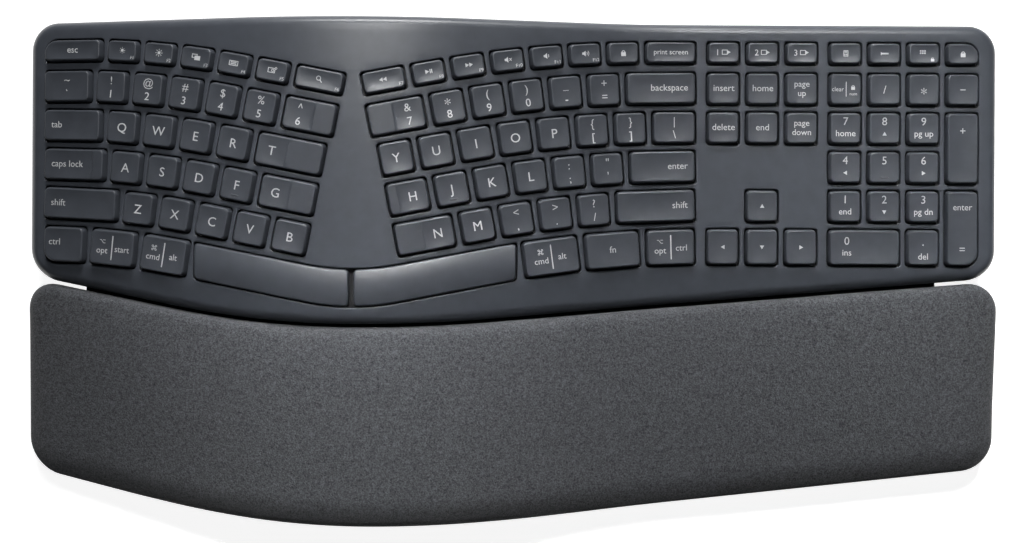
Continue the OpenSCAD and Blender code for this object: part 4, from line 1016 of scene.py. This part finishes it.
@dataclass
class KeyField:
    """All keys in groups that move together, with their caps and legends."""

    layout: Layout
    stamps: Stamps = field(default_factory=Stamps)

    def __post_init__(self) -> None:
        """Lays out the keys of every group."""
        self.groups: dict[str, list[Key]] = {}
        self.left_half()
        self.right_half()
        self.blocks()
        self.thumbs()

    def row(self, name: str, side: int, row: int, first: int, legends: list[Legend],
            **forms: dict) -> None:
        """Adds a group of neighbours in one row.

        Args:
            name: body that the group rides on.
            side: left (0) or right (1) half.
            row: row from the back.
            first: number of the first key in the row.
            legends: legends of each key.
            forms: settings of single keys, under k and the key's place in the group.
        """
        cells = [self.layout.row_key(side, row, first + i) for i in range(len(legends))]
        self.groups[name] = [Key(self.layout, cell, marks, **forms.get(f"k{i}", {}))
                             for i, (cell, marks) in enumerate(zip(cells, legends))]

    def block(self, name: str, x: float, row: int, legends: list[Legend], first: int = 0, wide: int = 1,
              deep: int = 1, **form: object) -> None:
        """Adds a group of neighbours in one row of a block.

        Args:
            name: body that the group rides on.
            x: left edge of the block.
            row: row from the back.
            legends: legends of each key.
            first: column of the first key.
            wide: columns that a key spans.
            deep: rows that a key spans.
            form: settings of the keys.
        """
        cells = [self.layout.block_key(x, first + i, row, wide, deep) for i in range(len(legends))]
        self.groups[name] = [Key(self.layout, cell, marks, **form) for cell, marks in zip(cells, legends)]

    def left_half(self) -> None:
        """Keys of the left half."""
        left = Align.LEFT
        self.row("esc_key", 0, 0, 0, [word("esc")], k0={"big_corner": 3})
        suns = [function(Icon.DIM, "F1"), function(Icon.BRIGHT, "F2"), function(Icon.SCREENS, "F3")]
        self.row("left_function_keys", 0, 0, 1, suns + [
            function(Icon.PANEL, "F4"), function(Icon.CAMERA, "F5"), function(Icon.LENS, "F6")])
        signs = [pair(a, b) for a, b in zip("~!@#$%^", "`123456")]
        self.row("left_number_keys", 0, 1, 0, signs, k6={"wing": 1})
        self.row("tab_key", 0, 2, 0, [word("tab", left, 3.9)])
        self.row("left_upper_keys", 0, 2, 1, [letter(c) for c in "QWERT"], k4={"wing": 1})
        self.row("caps_lock_key", 0, 3, 0, [word("caps lock", left, 3.9)],
                 k0={"wing": 1, "main": 24.3})
        self.row("left_home_keys", 0, 3, 1, [letter(c) for c in "ASDFG"], k3={"homing": True}, k4={"wing": 1})
        self.row("left_shift_key", 0, 4, 0, [word("shift", left, 3.9)])
        self.row("left_lower_keys", 0, 4, 1, [letter(c) for c in "ZXCVB"])
        self.row("left_modifier_keys", 0, 5, 0, [
            word("ctrl", left, 2.8, 1.0), split(Icon.BRANCH, "opt", "start"), split(Icon.KNOT, "cmd", "alt")],
            k0={"big_corner": 0})

    def right_half(self) -> None:
        """Keys of the right half."""
        right = Align.RIGHT
        media = zip((Icon.REWIND, Icon.PLAY, Icon.FORWARD, Icon.MUTE, Icon.QUIET, Icon.LOUD), range(7, 13))
        self.row("right_function_keys", 1, 0, 0, [function(icon, f"F{i}") for icon, i in media] + [
            (Mark(Icon.LOCK, size=PICTURE_SCALE),), (Mark("print screen", size=3.3),)])
        signs = [pair(a, b) for a, b in zip("&*()_+", "7890-=")]
        self.row("right_number_keys", 1, 1, 0, signs, k0={"wing": -1})
        self.row("backspace_key", 1, 1, 6, [word("backspace", right, 3.8)])
        letters = [letter(c) for c in "YUIOP"]
        self.row("right_upper_keys", 1, 2, 0, letters + [pair("{", "["), pair("}", "]"), pair("|", "\\")])
        self.row("right_home_keys", 1, 3, 0, [letter(c) for c in "HJKL"] + [pair(":", ";"), pair('"', "'")],
                 k0={"wing": -1, "main": 13.2}, k1={"homing": True})
        self.row("enter_key", 1, 3, 6, [word("enter", right, 3.8)])
        self.row("right_lower_keys", 1, 4, 0, [letter("N"), letter("M"), pair("<", ","), pair(">", "."),
                                               pair("?", "/")], k0={"wing": -1})
        self.row("right_shift_key", 1, 4, 5, [word("shift", right, 3.8)])
        self.row("right_modifier_keys", 1, 5, 0, [
            split(Icon.KNOT, "cmd", "alt"), word("fn"), split(Icon.BRANCH, "opt", "ctrl")])

    def thumbs(self) -> None:
        """The two space bars, in one opening with a slot between them."""
        layout = self.layout
        first = layout.left_x + layout.letter_pitch * sum(layout.left_rows[5])
        last = layout.right_x - layout.letter_pitch * sum(layout.right_rows[5])
        self.well = SpaceBar(layout, layout.thumb_cell(first, last))
        past = layout.web / 2 + self.well.gap - layout.space_slot / 2
        self.groups["left_space_bar"] = [SpaceBar(layout, layout.thumb_cell(first, layout.meet_x + past))]
        self.groups["right_space_bar"] = [SpaceBar(layout, layout.thumb_cell(layout.meet_x - past, last))]

    def blocks(self) -> None:
        """Keys of the navigation block, the arrows and the number block."""
        nav, numbers = self.layout.nav_x, self.layout.pad_x
        lock = (Mark(Icon.LOCK, size=PICTURE_SCALE),)
        devices = [(Mark(str(i), -2.9, 0.3, SHORT_SIZE), Mark(Icon.DEVICE, 0.7, 0.3, PICTURE_SCALE))
                   for i in (1, 2, 3)]
        grid_lock = (Mark(Icon.GRID, -0.6, 0.8), Mark(Icon.LOCK, 3.9, -2.6, 0.8))
        clear = (Mark("clear", -3.7, -0.2, 2.9), Mark(Icon.DIVIDER, 0.2, 0.0, 0.62),
                 Mark(Icon.LOCK, 3.4, 0.9, 0.9), Mark("num", 3.5, -2.3, 2.0))
        zero = (Mark("0", -8.2, 3.2, SIGN_SIZE), Mark("ins", -8.2, -2.6, PAD_SIZE))
        point = (Mark(".", v=3.2, size=LETTER_SIZE), Mark("del", v=-4.3, size=PAD_SIZE))
        enter = (Mark("enter", v=9.6, size=PAD_SIZE), sign("=", -9.6))
        self.block("device_keys", nav, 0, devices)
        self.block("insert_row_keys", nav, 1, [word("insert"), word("home"), stacked("page", "up")])
        self.block("delete_row_keys", nav, 2, [word("delete"), word("end"), stacked("page", "down")])
        self.block("up_arrow_key", nav, 4, [(Mark(Icon.UP),)], 1)
        for i, (name, icon) in enumerate((("left", Icon.BACK), ("down", Icon.DOWN), ("right", Icon.ON))):
            self.block(name + "_arrow_key", nav, 5, [(Mark(icon),)], i)
        shortcuts = [(Mark(Icon.SUMS),), (Mark(Icon.STRIP),), grid_lock, lock]
        self.block("numpad_shortcut_keys", numbers, 0, shortcuts)
        self.block("numpad_operator_keys", numbers, 1, [clear] + [(sign(c),) for c in "/*−"])
        self.block("numpad_upper_keys", numbers, 2, [pad("7", "home"), pad("8", Icon.UP), pad("9", "pg up")])
        self.block("numpad_middle_keys", numbers, 3, [pad("4", Icon.BACK), pad("5"), pad("6", Icon.ON)])
        self.block("numpad_lower_keys", numbers, 4, [pad("1", "end"), pad("2", Icon.DOWN), pad("3", "pg dn")])
        self.block("numpad_zero_key", numbers, 5, [zero], wide=2)
        self.block("numpad_point_key", numbers, 5, [point], 2)
        self.block("numpad_plus_key", numbers, 2, [(sign("+", 8.2),)], 3, deep=2)
        self.block("numpad_enter_key", numbers, 4, [enter], 3, deep=2, big_corner=1)
        self.groups["numpad_middle_keys"][1].homing = True
        self.groups["numpad_shortcut_keys"][3].big_corner = 2

    def wells(self) -> list[Key]:
        """Every key that has an opening of its own, and one that stands for both space bars."""
        single = [key for group in self.groups.values() for key in group if not isinstance(key, SpaceBar)]
        return single + [self.well]

    def build(self) -> None:
        """Makes one piece of caps and one of legends for each group."""
        for name, group in self.groups.items():
            caps, legends = Patchwork(), Patchwork()
            for key in group:
                key.build(caps)
                key.build_marks(legends, self.stamps)
            piece = caps.make(name + "_caps", KEY_GREY, name)
            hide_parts(name)
            if legends.count:
                legends.make(name + "_legends", LEGEND_INK, name)


@dataclass
class Deck:
    """Top case: an arched deck with a rounded opening for every key, a round rim and walls."""

    layout: Layout
    keys: KeyField
    rim: float = 4.6
    thickness: float = 2.2
    wall: float = 2.2
    joint_z: float = 8.0
    edge: float = 0.45
    opening_r: float = 1.7
    big_r: float = 6.4
    mesh: float = 4.0
    opening_mesh: float = 2.6
    clear: float = 1.4
    steps: int = 7

    def opening(self, key: Key) -> Plate:
        """Rounded rectangle of a key's opening."""
        return key.plate(key.taper + key.gap, self.opening_r, self.big_r, self.opening_mesh)

    def rim_ring(self, inset: float, drop: float) -> Array:
        """Ring (n, 3) round the case, moved in and below the arch."""
        flat = ring_of(self.layout.outline(False, inset))
        return raised(flat, self.layout.deck(flat[:, 0], flat[:, 1]) - drop)

    def free_points(self) -> Array:
        """Grid points (n, 2) of the deck that are clear of its rim and of every opening."""
        layout = self.layout
        xs = np.arange(-layout.width / 2, layout.width / 2, self.mesh)
        ys = np.arange(layout.front_y, layout.back_y, self.mesh)
        spots = np.stack(np.meshgrid(xs, ys), axis=-1).reshape(-1, 2)
        x, y = spots.T
        room = self.rim + self.clear
        half = layout.width / 2 - room
        over = np.clip(np.abs(x) - half + layout.corner_r, 0.0, None)
        sink = layout.corner_r - np.sqrt(np.maximum(layout.corner_r ** 2 - over ** 2, 0.0))
        sink += room
        free = (np.abs(x) < half) & (y < layout.back_y - sink) & (y > layout.body_front(x) + sink)
        for key in self.keys.wells():
            if isinstance(key, SpaceBar):
                u, v = x - key.centre, y - layout.bottom_line(x)
            else:
                u, v = ((spots - key.origin[:2]) @ key.frame[:2, :2]).T
            free &= (np.abs(u) > key.half_w + self.clear) | (np.abs(v) > key.half_d + self.clear)
        return spots[free]

    def build(self) -> bpy.types.Object:
        """Makes the case from its deck, the openings' round edges and the rim with its walls.

        The deck is a constrained triangulation between the rim's ring and the openings' rings, lifted
        onto the arch. The underside has the same triangles, a wall thickness lower. A quarter round is
        carried along each ring, and straight walls follow it.

        Returns:
            The new piece.
        """
        patchwork = Patchwork()
        rim = [self.rim_ring(inset, drop) for inset, drop in quarter_round(self.rim, self.steps)]
        upper, lower = [rim[0]], [self.rim_ring(self.wall, self.thickness)]
        for key in self.keys.wells():
            plate = self.opening(key)
            rings = [key.shelf(plate.loop(-inset), drop)
                     for inset, drop in quarter_round(self.edge, self.steps)]
            rings.append(key.shelf(plate.loop(), self.thickness))
            patchwork.grid(np.stack(rings), closed=True)
            upper.append(rings[0])
            lower.append(rings[-1])
        foot = ring_of(self.layout.outline(False, 0.0))
        inner = ring_of(self.layout.outline(False, self.wall))
        walls = [lower[0], raised(inner, self.joint_z), raised(foot, self.joint_z)] + rim[::-1]
        patchwork.grid(np.stack(walls), closed=True)
        loose = self.free_points()
        height = self.layout.deck(loose[:, 0], loose[:, 1])
        top = np.concatenate(upper + [raised(loose, height)])
        under = np.concatenate(lower + [raised(loose, height - self.thickness)])
        ends = np.cumsum([0] + [len(ring) for ring in upper])
        loops = [list(range(start, stop)) for start, stop in zip(ends[:-1], ends[1:])]
        made = delaunay_2d_cdt([tuple(p) for p in top[:, :2].tolist()], [], loops, 1, 1e-6)
        origin = np.array([sources[0] for sources in made[3]])
        triangles = origin[np.array([face for face, owners in zip(made[2], made[5]) if list(owners) == [0]])]
        patchwork.add(top, triangles)
        patchwork.add(under, triangles[:, ::-1])
        piece = patchwork.make("top_case_shell", GRAPHITE, "base", 50.0)
        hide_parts("top_case")
        return piece


@dataclass
class PalmRest:
    """Cushioned palm rest: a tight knit over foam, drawn in at its foot and crowned on top."""

    layout: Layout
    rim_z: float = 4.0
    draw_in: float = 2.5
    back_round: float = 4.5
    front_round: float = 16.0
    crowns: tuple[float, float] = (2.8, 5.2)
    crown_end: float = 40.0
    wall: float = 5.5
    depth: float = 8.0
    least: float = 7.5
    lean: float = 1.9
    crown_power: float = 0.6
    front_tall: float = 5.0
    round_share: float = 0.45

    def share(self, x: Array, y: Array) -> Array:
        """How far a place lies from the back edge (0) to the front edge (1)."""
        back = self.layout.body_front(x) - self.layout.palm_gap
        return np.clip((back - y) / (back - self.layout.palm_front(x)), 0.0, 1.0)

    def top(self, x: Array, y: Array) -> Array:
        """Height of the cushion: the palm rest's top and a crown on it.

        With f the share from back to front the crown is sin(pi f^0.6), so it is highest at a third of the
        depth. It grows with the height of the arch, and towards each end dies out with a quarter of a sine.
        """
        layout = self.layout
        half = layout.width / 2 + layout.palm_overhang
        end = np.sin(np.clip((half - np.abs(x)) / self.crown_end, 0.0, 1.0) * math.pi / 2)
        least, most = self.crowns
        crown = least + (most - least) * (layout.arch(x) - layout.flat_z) / (layout.crest_z - layout.flat_z)
        return layout.palm_z(x, y) + crown * end * np.sin(math.pi * self.share(x, y) ** self.crown_power)

    def field(self, inset: float, steps: int = 24) -> Array:
        """Places (steps, n, 2) from the front edge to the back edge, moved in."""
        front, back = self.layout.outline(True, inset)
        return front + (back - front) * np.linspace(0.0, 1.0, steps)[:, None, None]

    def ring(self, inset: float, low: float = 1.0) -> Array:
        """Ring (n, 3) at an inset: on the rounded edge, or at a share of the side's height below it.

        The edge is a quarter of an ellipse, small at the back and large at the front.
        """
        flat = self.border(self.field(inset))
        x, y = flat[:, 0], flat[:, 1]
        share, top = self.share(x, y), self.top(x, y)
        wide = self.back_round + (self.front_round - self.back_round) * share
        tall = np.minimum(self.back_round + self.front_tall * share, self.round_share * (top - self.rim_z))
        if low < 1.0:
            return raised(flat, self.rim_z + low * (top - tall - self.rim_z))
        over = np.clip(1.0 - inset / wide, 0.0, 1.0)
        return raised(flat, top - tall * (1.0 - np.sqrt(1.0 - over ** 2)))

    @staticmethod
    def border(surface: Array) -> Array:
        """The counterclockwise border of a surface's grid of points."""
        return np.concatenate((surface[0], surface[1:-1, -1], surface[-1, ::-1], surface[-2:0:-1, 0]))

    def build(self) -> bpy.types.Object:
        """Makes the cushion: a side carried round the outline, a crowned top, and a hollow for the shell.

        Below the rounded edge the side's inset is 2.5 (1 - s)^1.9 of its height s.

        Returns:
            The new piece.
        """
        patchwork = Patchwork()
        hollow = self.field(self.wall)
        ceiling = np.maximum(self.layout.palm_z(hollow[..., 0], hollow[..., 1]) - self.depth, self.least)
        inside = raised(hollow, ceiling)
        rings = [self.border(inside), raised(self.border(hollow), self.rim_z)]
        rings += [self.ring(self.draw_in * (1.0 - s) ** self.lean, s) for s in np.linspace(0.0, 1.0, 8)[:-1]]
        rings += [self.ring(self.front_round * t) for t in np.linspace(0.0, 1.0, 18) ** 1.8]
        patchwork.grid(np.stack(rings), closed=True)
        flat = self.field(self.front_round)
        patchwork.grid(raised(flat, self.top(flat[..., 0], flat[..., 1])))
        patchwork.grid(inside[::-1])
        piece = patchwork.make("palm_rest_pad", HEATHER, "base", 60.0)
        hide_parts("palm_rest_cover", "palm_rest_foam")
        return piece


@dataclass
class Fittings:
    """Pieces that keep their own solid and only get their finish."""

    nodes: dict[Finish, tuple[str, ...]] = field(default_factory=lambda: {
        BASE_GREY: ("bottom_case", "palm_rest_shell", "battery_door", "left_tall_leg", "left_short_leg",
                    "right_tall_leg", "right_short_leg"),
        SOFT_BLACK: ("power_switch", "rubber_feet", "rubber_domes"),
        SHEET_STEEL: ("case_screws", "palm_rest_screws", "leg_pins", "battery_contacts"),
        # The key plate's near-black steel is partly painted shade for the key gaps.
        DARK_STEEL_GAP_SHADE: ("stabiliser_wires", "key_plate"),
        LINK_GREY: ("scissor_links",),
        # The membrane's near-black finish is painted shade for the key gaps.
        GAP_SHADE_FILM: ("membrane",),
        CIRCUIT: ("controller_board",),
        CELL_FOIL: ("batteries",)})

    def dress(self) -> None:
        """Puts each finish on its nodes."""
        for finish, names in self.nodes.items():
            for name in names:
                materials = frame["nodes"][name].data.materials
                materials.clear()
                materials.append(finish.material())
                LOG.info("%s: %s", name, finish.name)


@dataclass(frozen=True)
class Softbox:
    """A soft lamp: its middle, the place it faces, its width and height, watts, and degrees of its cone."""

    name: str
    place: tuple[float, float, float]
    aim: tuple[float, float, float]
    size: tuple[float, float]
    power: float
    spread: float

    def build(self) -> None:
        """Hangs the lamp."""
        light = bpy.data.lights.new(self.name, "AREA")
        light.shape = "RECTANGLE"
        light.size, light.size_y = self.size
        light.energy = self.power
        light.spread = math.radians(self.spread)
        holder = hang(self.name, light)
        holder.location = self.place
        x, y, z = (a - b for a, b in zip(self.place, self.aim))
        holder.rotation_euler = (math.atan2(math.hypot(x, y), z), 0.0, math.atan2(y, x) + math.pi / 2)


@dataclass
class Studio:
    """White floor, soft light from behind, and a camera straight above."""

    eye: tuple[float, float, float] = (0.0007, 0.0013, 0.7138)
    roll: float = 0.0051
    lens: float = 51.97
    ambient: float = 0.02
    floor_half: float = 3.0
    lamps: tuple[Softbox, ...] = (
        Softbox("back_light", (-0.05, 1.1, 0.55), (-0.03, 0.05, 0.03), (0.5, 0.3), 1.85, 60.0),
        Softbox("top_light", (-0.072, 0.22, 0.36), (-0.075, 0.0, 0.04), (0.12, 0.12), 0.36, 130.0),
        Softbox("crest_light", (-0.02, 0.6, 0.9), (-0.06, -0.085, 0.04), (0.15, 0.15), 0.13, 16.0),
        Softbox("block_light", (0.2, 0.7, 0.9), (0.2, 0.01, 0.02), (0.15, 0.15), 0.2, 20.0))

    def build(self) -> None:
        """Makes the floor, the lamps, the sky and the camera."""
        corners = np.array(((-1, -1, 0), (1, -1, 0), (1, 1, 0), (-1, 1, 0))) * self.floor_half
        mesh = bpy.data.meshes.new("floor")
        mesh.from_pydata(corners.tolist(), [], [(0, 1, 2, 3)])
        mesh.materials.append(FLOOR.material())
        floor = hang("floor", mesh)
        for lamp in self.lamps:
            lamp.build()
        world = bpy.data.worlds.new("sky")
        world.use_nodes = True
        sky = world.node_tree.nodes["Background"]
        sky.inputs["Color"].default_value = (1.0, 1.0, 1.0, 1.0)
        sky.inputs["Strength"].default_value = self.ambient
        bpy.context.scene.world = world
        camera = bpy.data.cameras.new("camera")
        camera.sensor_width = 36.0
        camera.lens = self.lens
        holder = hang("camera", camera)
        holder.location = self.eye
        holder.rotation_euler = (0.0, 0.0, self.roll)
        bpy.context.scene.camera = holder
        bpy.context.scene.view_settings.view_transform = "Standard"


def main() -> None:
    """Builds the keyboard's pieces in order, then the studio."""
    logging.basicConfig(level=logging.INFO, format="%(message)s")
    layout = Layout()
    keys = KeyField(layout)
    keys.build()
    Deck(layout, keys).build()
    PalmRest(layout).build()
    Fittings().dress()
    Studio().build()
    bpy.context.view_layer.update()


if __name__ == "__main__":
    main()
